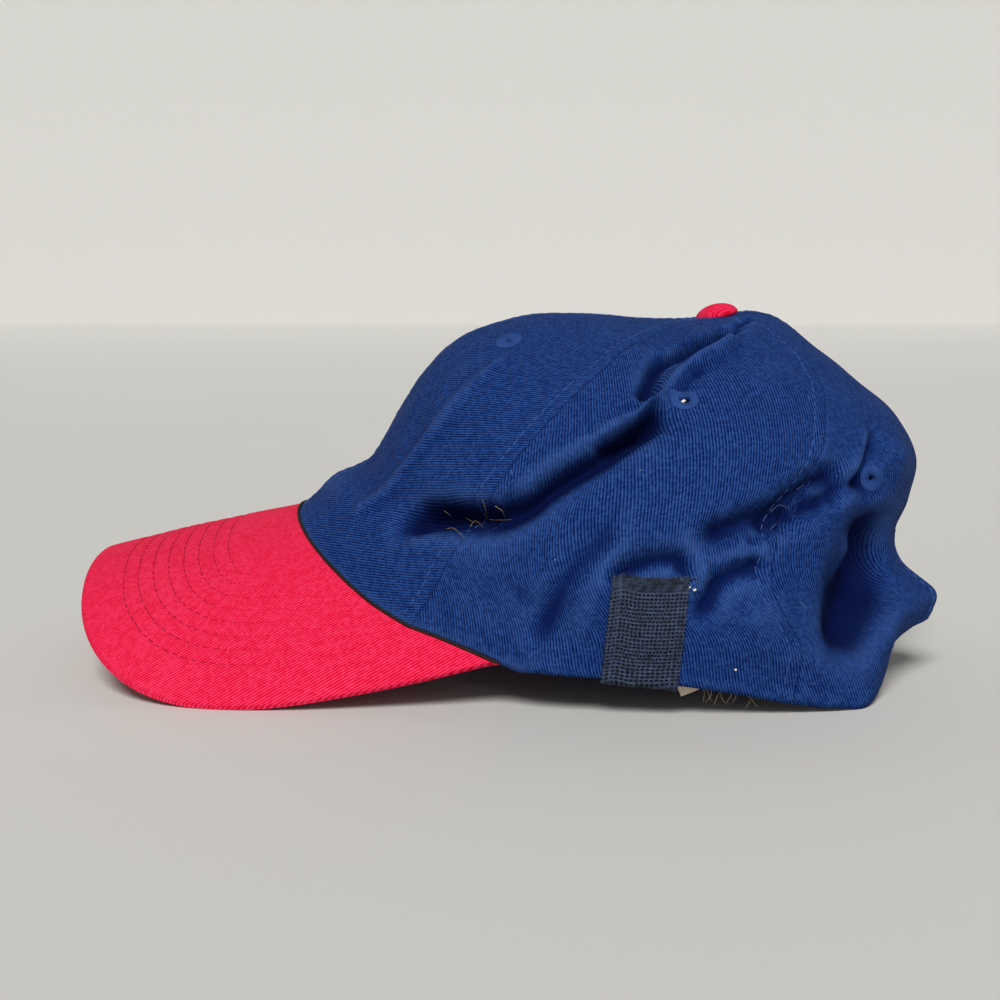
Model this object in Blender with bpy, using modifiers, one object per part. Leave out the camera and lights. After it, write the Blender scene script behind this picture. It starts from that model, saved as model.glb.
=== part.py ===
"""Six-panel cloth cap lying on its visor edges and rear hem, with a covered
button, embroidered eyelets, a woven side loop, a blank care label and a plain
rear strap. The wearer's front is -Y, the wearer's left is +X and up is +Z."""

import math

import bpy
import numpy as np
from mathutils import Vector
from mathutils.bvhtree import BVHTree

# Driving sizes, in metres
CROWN_LENGTH = 0.195
CROWN_HEIGHT = 0.105
CROWN_HALF_WIDTH = 0.085
CLOTH = 0.0015
GAP = 0.0003
REST_BAND = 0.0009
FOLD_UNIT = 0.010
FINEST_FOLD = 0.0066

VISOR_BEND = 1.094 * CROWN_HALF_WIDTH
VISOR_THICK = 0.0030
VISOR_HALF = 1.119 * CROWN_HALF_WIDTH
VISOR_REACH = 0.0866
VISOR_SQUARE = 2.82
VISOR_WIDEST = -0.210 * CROWN_LENGTH
VISOR_CREST = 0.4324 * CROWN_HEIGHT
VISOR_SLOPE = 0.185
VISOR_DROOP = 0.052 / VISOR_REACH
VISOR_SIDE_TAPER = 0.1217 / VISOR_HALF
VISOR_REAR_CUT = -0.009 * CROWN_LENGTH
VISOR_END_DEG = 74.0
SEAM_FRONT = -0.323 * CROWN_LENGTH

PIPING_RADIUS = 0.0004
BUTTON_RADIUS = 0.0067
BUTTON_HEIGHT = 0.0036
BUTTON_TILT = 13.0
SHANK_RADIUS = 0.0026
SHANK_DEPTH = 0.0030

EYELET_RADIUS = 0.0042
EYELET_HOLE = 0.0013
EYELET_SLEEVE = 0.0021
EYELET_RAISED = 0.0009

LOOP_WIDTH = 0.0207
LOOP_THICK = 0.0012
LOOP_TOP = 0.3667 * CROWN_HEIGHT
LOOP_FRONT_TOP = 0.1533 * CROWN_LENGTH
LOOP_FRONT_HEM = 0.1390 * CROWN_LENGTH
LOOP_RETURN = 0.008

LABEL_LENGTH = 0.020
LABEL_HEIGHT = 0.012
LABEL_THICK = 0.0005
LABEL_CORNER_Y = 0.2523 * CROWN_LENGTH
LABEL_CORNER_Z = 0.0476 * CROWN_HEIGHT
LABEL_TURN = 23.0

STRAP_HALF = 0.588 * CROWN_HALF_WIDTH
STRAP_HEIGHT = 0.0135
STRAP_THICK = 0.0016
STRAP_MIDDLE_Z = 0.119 * CROWN_HEIGHT
STRAP_END_LIFT = 0.0060
STRAP_BOW = 0.17 / STRAP_HALF

# Shares of a panel's height from hem to button
SKIRT = 0.02
PANEL_TOP = 0.972
HEM_FADE = 0.34
ARCH_TOP = 0.36
ARCH_HALF_DEG = 19.0

# Panel boundaries are at 0, 60, 120 and 180 degrees on each side of the front seam
PANELS = (
    ("front", 0.0, 60.0),
    ("side", 60.0, 120.0),
    ("back", 120.0, 180.0),
)
# Side of the cap: name, direction of X, columns and rows of a panel
SIDES = (
    ("left", 1.0, 15, 22),
    ("right", -1.0, 10, 16),
)

# Sections of the crown from hem to button: Y in crown lengths, Z in crown heights,
# half width in crown half widths, then squareness and the two side seams' angles
RING_COLUMNS = (
    "share", "front_y", "front_z", "back_y", "back_z", "half_width", "side_z",
    "square_front", "square_back", "seam_1", "seam_2",
)
RINGS = (
    (0.00, -0.323, 0.429, 0.672, 0.157, 1.000, 0.095, 2.15, 2.15, 52.0, 111.0),
    (0.10, -0.269, 0.519, 0.690, 0.233, 1.012, 0.210, 2.15, 2.15, 51.5, 111.0),
    (0.20, -0.210, 0.581, 0.636, 0.314, 1.012, 0.333, 2.15, 2.15, 51.0, 110.0),
    (0.30, -0.162, 0.724, 0.628, 0.395, 0.988, 0.457, 2.15, 2.15, 52.5, 111.0),
    (0.40, -0.115, 0.857, 0.651, 0.481, 0.941, 0.576, 2.10, 2.10, 53.5, 112.8),
    (0.50, -0.051, 0.952, 0.662, 0.590, 0.853, 0.690, 2.10, 2.10, 53.7, 113.6),
    (0.60, 0.028, 1.000, 0.631, 0.714, 0.724, 0.790, 2.05, 2.20, 53.0, 115.5),
    (0.70, 0.108, 1.014, 0.564, 0.819, 0.571, 0.871, 2.00, 2.40, 50.5, 121.5),
    (0.80, 0.188, 1.003, 0.505, 0.910, 0.406, 0.938, 2.00, 2.40, 48.5, 126.0),
    (0.90, 0.269, 0.996, 0.436, 1.006, 0.224, 0.986, 2.00, 2.20, 48.0, 128.0),
    (0.95, 0.310, 0.996, 0.397, 1.019, 0.112, 1.000, 2.00, 2.00, 53.0, 124.0),
    (1.00, 0.349, 1.000, 0.349, 1.000, 0.000, 1.000, 2.00, 2.00, 60.0, 120.0),
)

# Hem line behind the visor: panel angle, X in half widths, Y in lengths, Z in heights
HEM_COLUMNS = ("angle", "x", "y", "z")
HEM = (
    (60, 0.812, -0.126, 0.229),
    (72, 0.906, -0.021, 0.132),
    (80, 0.965, 0.054, 0.110),
    (90, 0.995, 0.144, 0.102),
    (100, 1.006, 0.236, 0.088),
    (110, 0.992, 0.331, 0.059),
    (120, 0.959, 0.410, 0.026),
    (128, 0.918, 0.482, 0.006),
    (134, 0.876, 0.521, 0.002),
    (140, 0.776, 0.551, 0.038),
    (148, 0.635, 0.579, 0.114),
    (156, 0.518, 0.621, 0.148),
    (162, 0.429, 0.659, 0.162),
    (170, 0.235, 0.672, 0.162),
    (180, 0.000, 0.677, 0.162),
)

# Folds and dents: depth (out is positive), reach to each side, slide across, softness
# of its ends, how much of it the right side has, and the points that it runs through
# (panel angle, share). Depth and reach are in fold units.
FOLD_COLUMNS = ("name", "depth", "reach", "slide", "soft", "right", "path")
FOLDS = (
    ("side_valley", -0.90, 0.46, 0.12, 1.3, 0.6, (
        (82.3, 0.571), (80.6, 0.551), (78.4, 0.524), (75.2, 0.466), (72.1, 0.420), (69.6, 0.371),
        (67.8, 0.324), (63.8, 0.284), (57.2, 0.255), (50.0, 0.230), (46.6, 0.197), (46.7, 0.152),
    )),
    ("side_lip", 0.20, 0.36, 0.60, 1.5, 0.6, (
        (74.5, 0.543), (72.6, 0.496), (69.9, 0.453), (67.5, 0.413), (65.5, 0.363), (63.6, 0.320),
    )),
    ("roll", 0.40, 0.27, 0.00, 1.5, 0.5, (
        (94.1, 0.822), (88.6, 0.760), (83.8, 0.716), (81.1, 0.665), (80.0, 0.610), (79.6, 0.580),
        (78.2, 0.563), (76.4, 0.544),
    )),
    ("roll_pocket", -0.50, 0.26, 0.25, 1.2, 0.5, (
        (97.0, 0.897), (82.3, 0.820), (77.6, 0.744), (73.8, 0.713), (73.4, 0.666), (75.0, 0.584),
    )),
    ("roll_low_pocket", -0.30, 0.26, 0.00, 1.2, 0.5, (
        (85.3, 0.712), (82.8, 0.670), (81.5, 0.627), (81.4, 0.585),
    )),
    ("rear_upper_valley", -0.55, 0.42, 0.10, 1.2, 0.7, (
        (129.5, 0.444), (124.8, 0.442), (120.1, 0.409), (116.7, 0.368), (112.2, 0.343), (108.1, 0.320),
        (102.9, 0.309),
    )),
    ("rear_upper_second", -0.38, 0.30, 0.00, 1.0, 0.5, (
        (135.8, 0.455), (131.1, 0.425), (127.1, 0.394), (123.3, 0.366), (119.6, 0.339), (115.0, 0.310),
    )),
    ("rear_crumple", 0.12, 0.22, 0.00, 1.0, 0.5, (
        (128.2, 0.421), (122.9, 0.398), (119.8, 0.357),
    )),
    ("eyelet_hollow", -0.30, 0.40, 0.30, 1.2, 0.6, (
        (138.5, 0.560), (135.0, 0.475), (141.0, 0.390),
    )),
    ("rear_ridge", 0.20, 0.35, 0.00, 1.2, 0.6, (
        (134.0, 0.565), (131.0, 0.465), (131.5, 0.375),
    )),
    ("rear_trough", -1.10, 0.85, 0.00, 1.0, 0.8, (
        (144.2, 0.380), (147.7, 0.288), (147.4, 0.216), (139.6, 0.172), (124.3, 0.101),
    )),
    ("loop_valley", -0.38, 0.32, 0.20, 1.2, 0.0, (
        (90.7, 0.214), (94.4, 0.247), (98.2, 0.269), (101.9, 0.266), (105.4, 0.226),
    )),
    ("loop_side_ridge", 0.14, 0.26, 0.00, 1.2, 0.4, (
        (103.8, 0.269), (106.5, 0.233), (105.9, 0.186),
    )),
    ("loop_side_pocket", -0.34, 0.34, -0.20, 1.2, 0.4, (
        (118.9, 0.233), (114.6, 0.249), (110.3, 0.228), (107.0, 0.181), (103.8, 0.145),
    )),
    ("side_soft_ridge", 0.18, 0.48, 0.00, 1.5, 0.8, (
        (89.2, 0.378), (90.4, 0.259), (88.0, 0.176), (83.8, 0.072),
    )),
    ("side_soft_valley", -0.26, 0.42, 0.00, 1.4, 0.8, (
        (87.6, 0.347), (87.6, 0.295), (85.4, 0.243), (82.7, 0.176), (79.5, 0.108), (78.4, 0.051),
    )),
    ("side_dimple", -0.12, 0.36, 0.00, 1.0, 0.8, (
        (76.8, 0.186), (75.7, 0.165), (74.6, 0.139),
    )),
    ("front_ridge", 0.14, 0.30, 0.00, 1.5, 0.6, (
        (35.1, 0.545), (35.5, 0.400), (33.0, 0.270), (30.3, 0.103),
    )),
    ("rear_puff", 0.25, 0.70, 0.00, 1.0, 0.8, (
        (147.0, 0.575), (146.5, 0.525), (143.0, 0.470),
    )),
    ("side_puff", 0.20, 1.30, 0.00, 1.0, 1.0, (
        (102.5, 0.610), (101.5, 0.490), (101.0, 0.410),
    )),
    ("low_puff", 0.25, 0.80, 0.00, 1.0, 1.0, (
        (117.5, 0.235), (116.5, 0.160), (111.5, 0.090),
    )),
)

# Eyelets: panel, panel angle, share of the panel's height
EYELETS = (
    ("front", 26.75, 0.557),
    ("side", 84.5, 0.600),
    ("back", 138.5, 0.450),
)

# Finishes: red, green, blue, roughness
FINISHES = {
    "crown": (0.018, 0.045, 0.190, 0.85),
    "visor": (0.780, 0.012, 0.060, 0.80),
    "button": (0.780, 0.012, 0.060, 0.80),
    "piping": (0.030, 0.018, 0.014, 0.80),
    "eyelet": (0.030, 0.070, 0.240, 0.60),
    "loop": (0.014, 0.020, 0.040, 0.75),
    "label": (0.620, 0.500, 0.380, 0.80),
    "strap": (0.012, 0.020, 0.060, 0.40),
}


def column(table, names, name):
    """One named column of a table."""
    place = names.index(name)
    return np.array([row[place] for row in table], float)


def through(at, knots, values):
    """Smooth curve through a table's values."""
    at = np.asarray(at, float)
    slopes = np.gradient(values, knots)
    k = np.clip(np.searchsorted(knots, at, side="right") - 1, 0, len(knots) - 2)
    span = knots[k + 1] - knots[k]
    s = np.clip((at - knots[k]) / span, 0.0, 1.0)
    start = values[k] * (2 * s**3 - 3 * s**2 + 1) + span * slopes[k] * (s**3 - 2 * s**2 + s)
    end = values[k + 1] * (3 * s**2 - 2 * s**3) + span * slopes[k + 1] * (s**3 - s**2)
    return start + end


def ease(low, high, value):
    """0 below low, 1 above high, smooth between."""
    s = np.clip((value - low) / (high - low), 0.0, 1.0)
    return s * s * (3 - 2 * s)


def near_seam(angle, seam):
    """1 at a side seam, falling to 0 at its neighbours 60 degrees away."""
    return (1 - np.clip(np.abs(angle - seam) / 60.0, 0, 1) ** 2) ** 2


def unit(vectors):
    """Vectors made one long."""
    return vectors / np.maximum(np.linalg.norm(vectors, axis=-1, keepdims=True), 1e-12)


def visor_crest(y):
    """Height of the visor's top along its centre line."""
    ahead = SEAM_FRONT - y
    return VISOR_CREST - VISOR_SLOPE * ahead - VISOR_DROOP * np.maximum(ahead, 0) ** 2


def visor_top(x, y):
    """Height of the visor's bent top surface."""
    x = np.clip(x, -VISOR_BEND, VISOR_BEND)
    return visor_crest(y) - VISOR_BEND + np.sqrt(VISOR_BEND**2 - x**2)


def plain_section(angle, share):
    """Left half of the crown before its hem line and folds are shaped."""
    c = {}
    for name in RING_COLUMNS[1:]:
        knots = column(RINGS, RING_COLUMNS, "share")
        c[name] = through(share, knots, column(RINGS, RING_COLUMNS, name))
    turn = angle + (c["seam_1"] - 60) * near_seam(angle, 60)
    turn = np.radians(turn + (c["seam_2"] - 120) * near_seam(angle, 120))
    across, along = np.sin(turn), np.cos(turn)
    front = along > 0
    power = 2 / np.where(front, c["square_front"], c["square_back"])
    middle = (c["front_y"] + c["back_y"]) / 2
    reach = (c["back_y"] - c["front_y"]) / 2
    end_z = np.where(front, c["front_z"], c["back_z"])
    x = c["half_width"] * np.abs(across) ** power * CROWN_HALF_WIDTH
    y = (middle - reach * np.sign(along) * np.abs(along) ** power) * CROWN_LENGTH
    z = (c["side_z"] + (end_z - c["side_z"]) * along**2) * CROWN_HEIGHT
    return np.stack([x, y, z], -1)


def hem_line(angle):
    """The hem from the front seam to the rear, on the visor's top in front."""
    knots = column(HEM, HEM_COLUMNS, "angle")
    x = through(angle, knots, column(HEM, HEM_COLUMNS, "x")) * CROWN_HALF_WIDTH
    y = through(angle, knots, column(HEM, HEM_COLUMNS, "y")) * CROWN_LENGTH
    z = through(angle, knots, column(HEM, HEM_COLUMNS, "z")) * CROWN_HEIGHT
    plain = plain_section(angle, np.zeros_like(angle))
    behind = ease(52, 60, angle)[..., None]
    hem = plain * (1 - behind) + np.stack([x, y, z], -1) * behind
    on_visor = visor_share(angle)
    hem[..., 2] += (visor_top(hem[..., 0], hem[..., 1]) - hem[..., 2]) * on_visor
    return hem


def visor_share(angle):
    """1 where the crown stands on the visor, 0 behind it."""
    return 1 - ease(VISOR_END_DEG, VISOR_END_DEG + 6.5, angle)


def visor_normal(x, y):
    """Upward direction of the visor's bent top surface."""
    across = np.clip(x / VISOR_BEND, -0.999, 0.999)
    rise = np.sqrt(1 - across**2)
    slope = VISOR_SLOPE + 2 * VISOR_DROOP * np.maximum(SEAM_FRONT - y, 0)
    return unit(np.stack([across, -slope * rise, rise], -1))


def section(angle, share):
    """Left half of the crown with its hem line, before the folds. In front, a short
    skirt of cloth goes down behind the visor's rear edge."""
    on_visor = visor_share(angle)
    cut = SKIRT * on_visor
    above = np.clip((share - cut) / (1 - cut), 0, 1)
    points = plain_section(angle, above)
    change = hem_line(angle) - plain_section(angle, np.zeros_like(angle))
    points = points + change * (np.clip(1 - above / HEM_FADE, 0, 1) ** 2)[..., None]
    down = VISOR_THICK * on_visor * np.clip(1 - share / SKIRT, 0, 1)
    return points - visor_normal(points[..., 0], points[..., 1]) * down[..., None]


def whole_section(angle, share):
    """The crown on both sides of the front and back seams, by mirroring."""
    folded = 180 - np.abs(180 - np.abs(angle))
    points = section(folded, share)
    points[..., 0] *= np.where((angle < 0) | (angle > 180), -1, 1)
    return points


def outward(angle, share):
    """Outward direction of the unfolded crown."""
    turn, rise = 0.25, 0.004
    share = np.clip(share, SKIRT + rise, 1 - 2 * rise)
    around = whole_section(angle + turn, share) - whole_section(angle - turn, share)
    up = whole_section(angle, share + rise) - whole_section(angle, share - rise)
    return unit(np.cross(around, up))


def fold_shift(row, points, normals, right):
    """How far one fold moves each point."""
    f = dict(zip(FOLD_COLUMNS, row))
    reach = max(f["reach"] * FOLD_UNIT, FINEST_FOLD)
    depth = f["depth"] * FOLD_UNIT * (f["right"] if right else 1.0)
    stops = np.array(f["path"])
    knots, fine = np.linspace(0, 1, len(stops)), np.linspace(0, 1, 48)
    path = section(through(fine, knots, stops[:, 0]), through(fine, knots, stops[:, 1]))
    along = unit(np.gradient(path, axis=0))
    length = np.append(0, np.cumsum(np.linalg.norm(np.diff(path, axis=0), axis=1)))
    apart = ((points[:, None] - path[None]) ** 2).sum(-1)
    near = apart.argmin(1)
    offset = points - path[near]
    ahead = (offset * along[near]).sum(1)
    sideways = unit(np.cross(normals, along[near]))
    distance = np.sqrt(np.maximum(apart.min(1) - ahead**2, 0)) / reach
    place = length[near] + ahead
    soft = 1.6 * reach * f["soft"]
    strength = ease(-0.3 * soft, soft, place) * ease(-0.3 * soft, soft, length[-1] - place)
    push = depth * strength * np.exp(-(distance**2))
    slide = f["slide"] * depth * strength * np.exp(-((distance / 1.1) ** 2))
    return push[:, None] * normals + slide[:, None] * sideways


def left_crown(angle, share, right):
    """Folded outer surface on the left, with the right side's folds if asked."""
    angle, share = np.broadcast_arrays(angle, share)
    points = section(angle, share)
    normals = outward(angle, share).reshape(-1, 3)
    flat = points.reshape(-1, 3)
    shift = sum(fold_shift(row, flat, normals, right) for row in FOLDS)
    hold = ease(0, 8, angle) * (1 - ease(172, 180, angle))
    hold = hold * (1 - visor_share(angle) * (1 - ease(SKIRT, 3 * SKIRT, share)))
    return points + shift.reshape(points.shape) * hold[..., None]


def crown_surface(angle, share, side):
    """Folded outer surface and its inner one, a cloth's thickness inside."""
    angle, share = np.broadcast_arrays(np.asarray(angle, float), np.asarray(share, float))
    turn, rise = 0.3, 0.005
    right = side < 0
    outer = left_crown(angle, share, right)
    lower = np.clip(angle - turn, 0.05, 179.95)
    upper = np.clip(angle + turn, 0.05, 179.95)
    around = left_crown(upper, share, right) - left_crown(lower, share, right)
    low = np.clip(share - rise, 0, 0.985)
    high = np.clip(share + rise, 2 * rise, 0.995)
    up = left_crown(angle, high, right) - left_crown(angle, low, right)
    normals = unit(np.cross(around, up))
    inner = outer - normals * CLOTH
    for grid in (outer, inner):
        grid[..., 2] = np.where(grid[..., 2] < REST_BAND, 0.0, grid[..., 2])
        grid[..., 0] *= side
    return outer, inner


def add_object(name, vertices, faces, finish, smooth=True):
    """A mesh object of the cap, turned so that its faces look outwards."""
    vertices = np.asarray(vertices, float)
    volume = 0.0
    for face in faces:
        corners = vertices[list(face)]
        for k in range(1, len(face) - 1):
            volume += np.dot(corners[0], np.cross(corners[k], corners[k + 1]))
    if volume < 0:
        faces = [tuple(reversed(face)) for face in faces]
    mesh = bpy.data.meshes.new(name)
    mesh.from_pydata(vertices.tolist(), [], [tuple(map(int, face)) for face in faces])
    mesh.polygons.foreach_set("use_smooth", [smooth] * len(mesh.polygons))
    return link(name, mesh, finish)


def link(name, mesh, finish):
    """The object of a mesh, in the cap's collection with its own material."""
    obj = bpy.data.objects.new(name, mesh)
    cap.objects.link(obj)
    red, green, blue, roughness = FINISHES[finish]
    material = bpy.data.materials.new(name)
    material.use_nodes = True
    shader = material.node_tree.nodes["Principled BSDF"]
    shader.inputs["Base Color"].default_value = (red, green, blue, 1)
    shader.inputs["Roughness"].default_value = roughness
    shader.inputs["Metallic"].default_value = 0.0
    mesh.materials.clear()
    mesh.materials.append(material)
    return obj


def shell(name, outer, inner, finish):
    """Closed wall between two grids of the same shape."""
    rows, columns = outer.shape[:2]
    vertices = np.concatenate([outer.reshape(-1, 3), inner.reshape(-1, 3)])
    behind = rows * columns
    index = np.arange(behind).reshape(rows, columns)
    faces = []
    for i in range(rows - 1):
        for j in range(columns - 1):
            a, b, c, d = index[i, j], index[i + 1, j], index[i + 1, j + 1], index[i, j + 1]
            straight = np.linalg.norm(vertices[a] - vertices[c])
            other = np.linalg.norm(vertices[b] - vertices[d])
            halves = [(a, b, c), (a, c, d)] if straight < other else [(a, b, d), (b, c, d)]
            faces += halves
            # The inner wall is split as the outer one, so that it stays a cloth away
            faces += [(e + behind, g + behind, f + behind) for e, f, g in halves]
    edge = list(index[:, 0]) + list(index[-1, 1:]) + list(index[-2::-1, -1])
    edge += list(index[0, -2:0:-1])
    for k, b in enumerate(edge):
        a = edge[(k + 1) % len(edge)]
        c, d = b + behind, a + behind
        # Both sides of a seam are split the same way, so that they stay parallel
        faces += [(a, b, c), (a, c, d)] if a > b else [(a, b, d), (b, c, d)]
    return add_object(name, vertices, faces, finish)


def seam_gap_degrees(angle, share):
    """Panel angle that half of a seam's gap takes."""
    step = 0.5
    there = section(np.full_like(share, angle + step), share)
    here = section(np.full_like(share, angle), share)
    return GAP / 2 * step / np.maximum(np.linalg.norm(there - here, axis=-1), 1e-6)


def panel_rows(count):
    """Shares of the height that rows of panels take, closer at the rear opening's top.
    Neighbours have the same rows, so their edges follow each other."""
    shares = np.linspace(SKIRT, PANEL_TOP, count)
    arch = ARCH_TOP * np.array([0.80, 0.93, 0.985, 1.0])
    clear = [s for s in shares if np.abs(arch - s).min() > 0.011]
    return np.sort(np.concatenate([[0], clear, arch]))


def panel_grid(panel, low, high, columns, rows):
    """Panel angle and height share of each point of a panel's grid."""
    share = panel_rows(rows)
    first = low + seam_gap_degrees(low, share)
    last = high - seam_gap_degrees(high - 0.5, share)
    if panel == "back":
        opening = ARCH_HALF_DEG * np.sqrt(np.clip(1 - (share / ARCH_TOP) ** 2, 0, 1))
        last = np.minimum(last, high - opening)
    across = np.linspace(0, 1, columns + 1)
    angle = first[None] + (last - first)[None] * across[:, None]
    return angle, np.broadcast_to(share, angle.shape)


def crown_panel(side_name, side, panel, low, high, columns, rows):
    """One cloth panel from the hem to the button."""
    angle, share = panel_grid(panel, low, high, columns, rows)
    outer, inner = crown_surface(angle, share, side)
    return shell(f"crown_{panel}_{side_name}", outer, inner, "crown")


def tree_of(obj):
    """The object's faces, for finding what lies under a point."""
    faces = [tuple(face.vertices) for face in obj.data.polygons]
    return BVHTree.FromPolygons([v.co for v in obj.data.vertices], faces)


def highest(tree, foot, normal, offsets):
    """How far a surface rises above a point, the most among its neighbours."""
    reach = 4 * CLOTH
    found = []
    for offset in offsets:
        start = foot + offset + normal * reach
        hit = tree.ray_cast(Vector(start), Vector(-normal), 3 * reach)[0]
        if hit is not None:
            found.append(float(np.dot(np.array(hit) - foot, normal)))
    return max(found, default=0.0)


def place_on_panel(angle, share, side):
    """A point of the crown with its outward, level and upward directions."""
    turn, rise = 1.0, 0.01
    here = crown_surface(angle, share, side)[0]
    around = crown_surface(angle + turn, share, side)[0] - crown_surface(angle - turn, share, side)[0]
    up = crown_surface(angle, share + rise, side)[0] - crown_surface(angle, share - rise, side)[0]
    normal = unit(np.cross(around, up)) * side
    level = unit(around - normal * np.dot(around, normal))
    return here, normal, level, np.cross(normal, level)


def cut_hole(obj, centre, direction, radius, name):
    """A round hole through a panel, made by a rod-shaped cutter."""
    bpy.ops.mesh.primitive_cylinder_add(vertices=12, radius=radius, depth=8 * CLOTH, location=centre)
    rod = bpy.context.object
    rod.name = name
    rod.rotation_euler = Vector(direction).to_track_quat("Z", "Y").to_euler()
    for collection in list(rod.users_collection):
        collection.objects.unlink(rod)
    cutters.objects.link(rod)
    rod.hide_render = True
    rod.display_type = "WIRE"
    hole = obj.modifiers.new(name, "BOOLEAN")
    hole.operation = "DIFFERENCE"
    hole.solver = "EXACT"
    hole.object = rod


def eyelet(side_name, side, panel, angle, share, cloth):
    """Embroidered ring that lies on its panel, with a sleeve down through the hole."""
    centre, normal, level, rising = place_on_panel(angle, share, side)
    tree = tree_of(cloth)
    sunk = -(CLOTH + GAP)
    profile = (
        (EYELET_HOLE, sunk),
        (EYELET_HOLE, EYELET_RAISED * 0.8),
        (EYELET_RADIUS * 0.60, EYELET_RAISED + GAP),
        (EYELET_RADIUS * 0.90, EYELET_RAISED),
        (EYELET_RADIUS, GAP * 1.6),
        (EYELET_SLEEVE, GAP * 1.2),
        (EYELET_SLEEVE, sunk),
    )
    steps = 12
    around = 0.8 * math.pi * EYELET_RADIUS / steps
    offsets = [level * a * around + rising * b * around for a in (-1, 0, 1) for b in (-1, 0, 1)]
    vertices = []
    for k in range(steps):
        turn = 2 * math.pi * k / steps
        spoke = math.cos(turn) * level + math.sin(turn) * rising
        for radius, height in profile:
            foot = centre + spoke * radius
            base = highest(tree, foot, normal, offsets)
            vertices.append(foot + normal * (base + height))
    n = len(profile)
    faces = []
    for k in range(steps):
        for j in range(n):
            a, b = k * n + j, k * n + (j + 1) % n
            c, d = (k + 1) % steps * n + (j + 1) % n, (k + 1) % steps * n + j
            faces.append((a, b, c, d))
    cut_hole(cloth, centre, normal, EYELET_SLEEVE + GAP, f"hole_{panel}_{side_name}")
    return add_object(f"eyelet_{panel}_{side_name}", vertices, faces, "eyelet")


def even_steps(points, count):
    """Points the same distance apart along a line."""
    length = np.append(0, np.cumsum(np.linalg.norm(np.diff(points, axis=0), axis=1)))
    at = np.linspace(0, length[-1], count)
    return np.stack([np.interp(at, length, points[:, k]) for k in range(points.shape[1])], -1)


def visor_seam(count, out):
    """The seam with the crown, right to left, in the visor's flat shape."""
    angle = np.linspace(0, VISOR_END_DEG, 200)
    hem = hem_line(angle)
    along = unit(np.gradient(hem[:, :2], axis=0))
    moved = hem[:, :2] + out * np.stack([along[:, 1], -along[:, 0]], -1)
    flat = np.stack([VISOR_BEND * np.arcsin(moved[:, 0] / VISOR_BEND), moved[:, 1]], -1)
    left = flat * [-1, 1]
    return even_steps(np.concatenate([left[::-1], flat[1:]]), count)


def visor_rim(count):
    """The free edge, right to left, in the visor's flat shape."""
    around = np.linspace(0, math.pi / 2, 200)
    across = VISOR_HALF * np.cos(around) ** (2 / VISOR_SQUARE)
    forward = VISOR_WIDEST - VISOR_REACH * np.sin(around) ** (2 / VISOR_SQUARE)
    rear = np.linspace(VISOR_REAR_CUT, VISOR_WIDEST, 20)[:-1]
    taper = VISOR_HALF - VISOR_SIDE_TAPER * (rear - VISOR_WIDEST) ** 2
    half = np.concatenate([np.stack([taper, rear], -1), np.stack([across, forward], -1)])
    return even_steps(np.concatenate([half * [-1, 1], half[-2::-1]]), count)


def bent(flat, depth):
    """Points of the visor's flat shape bent to its curve, some depth below the top."""
    x = VISOR_BEND * np.sin(flat[..., 0] / VISOR_BEND)
    y = flat[..., 1]
    points = np.stack([x, y, visor_top(x, y)], -1) - visor_normal(x, y) * depth
    points[..., 2] = np.where(points[..., 2] < REST_BAND, 0.0, points[..., 2])
    return points


def visor():
    """Curved visor: a board between two layers of twill, with a rounded rim."""
    across, deep = 36, 6
    seam = visor_seam(across + 1, GAP)
    rim = visor_rim(across + 1)
    share = np.linspace(0, 1, deep + 1)[None, :, None]
    flat = seam[:, None] * (1 - share) + rim[:, None] * share
    return shell("visor", bent(flat, 0.0), bent(flat, VISOR_THICK), "visor")


def visor_piping():
    """Thin dark cord in the corner between visor and crown."""
    lift = GAP + PIPING_RADIUS
    path = bent(visor_seam(37, lift), -lift)
    curve = bpy.data.curves.new("visor_piping", "CURVE")
    curve.dimensions = "3D"
    curve.bevel_depth = PIPING_RADIUS
    curve.bevel_resolution = 1
    curve.use_fill_caps = True
    line = curve.splines.new("POLY")
    line.points.add(len(path) - 1)
    for point, place in zip(line.points, path):
        point.co = (*place, 1)
    guide = bpy.data.objects.new("piping_guide", curve)
    cap.objects.link(guide)
    bpy.context.view_layer.update()
    graph = bpy.context.evaluated_depsgraph_get()
    mesh = bpy.data.meshes.new_from_object(guide.evaluated_get(graph))
    bpy.data.objects.remove(guide)
    mesh.name = "visor_piping"
    return link("visor_piping", mesh, "piping")


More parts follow.
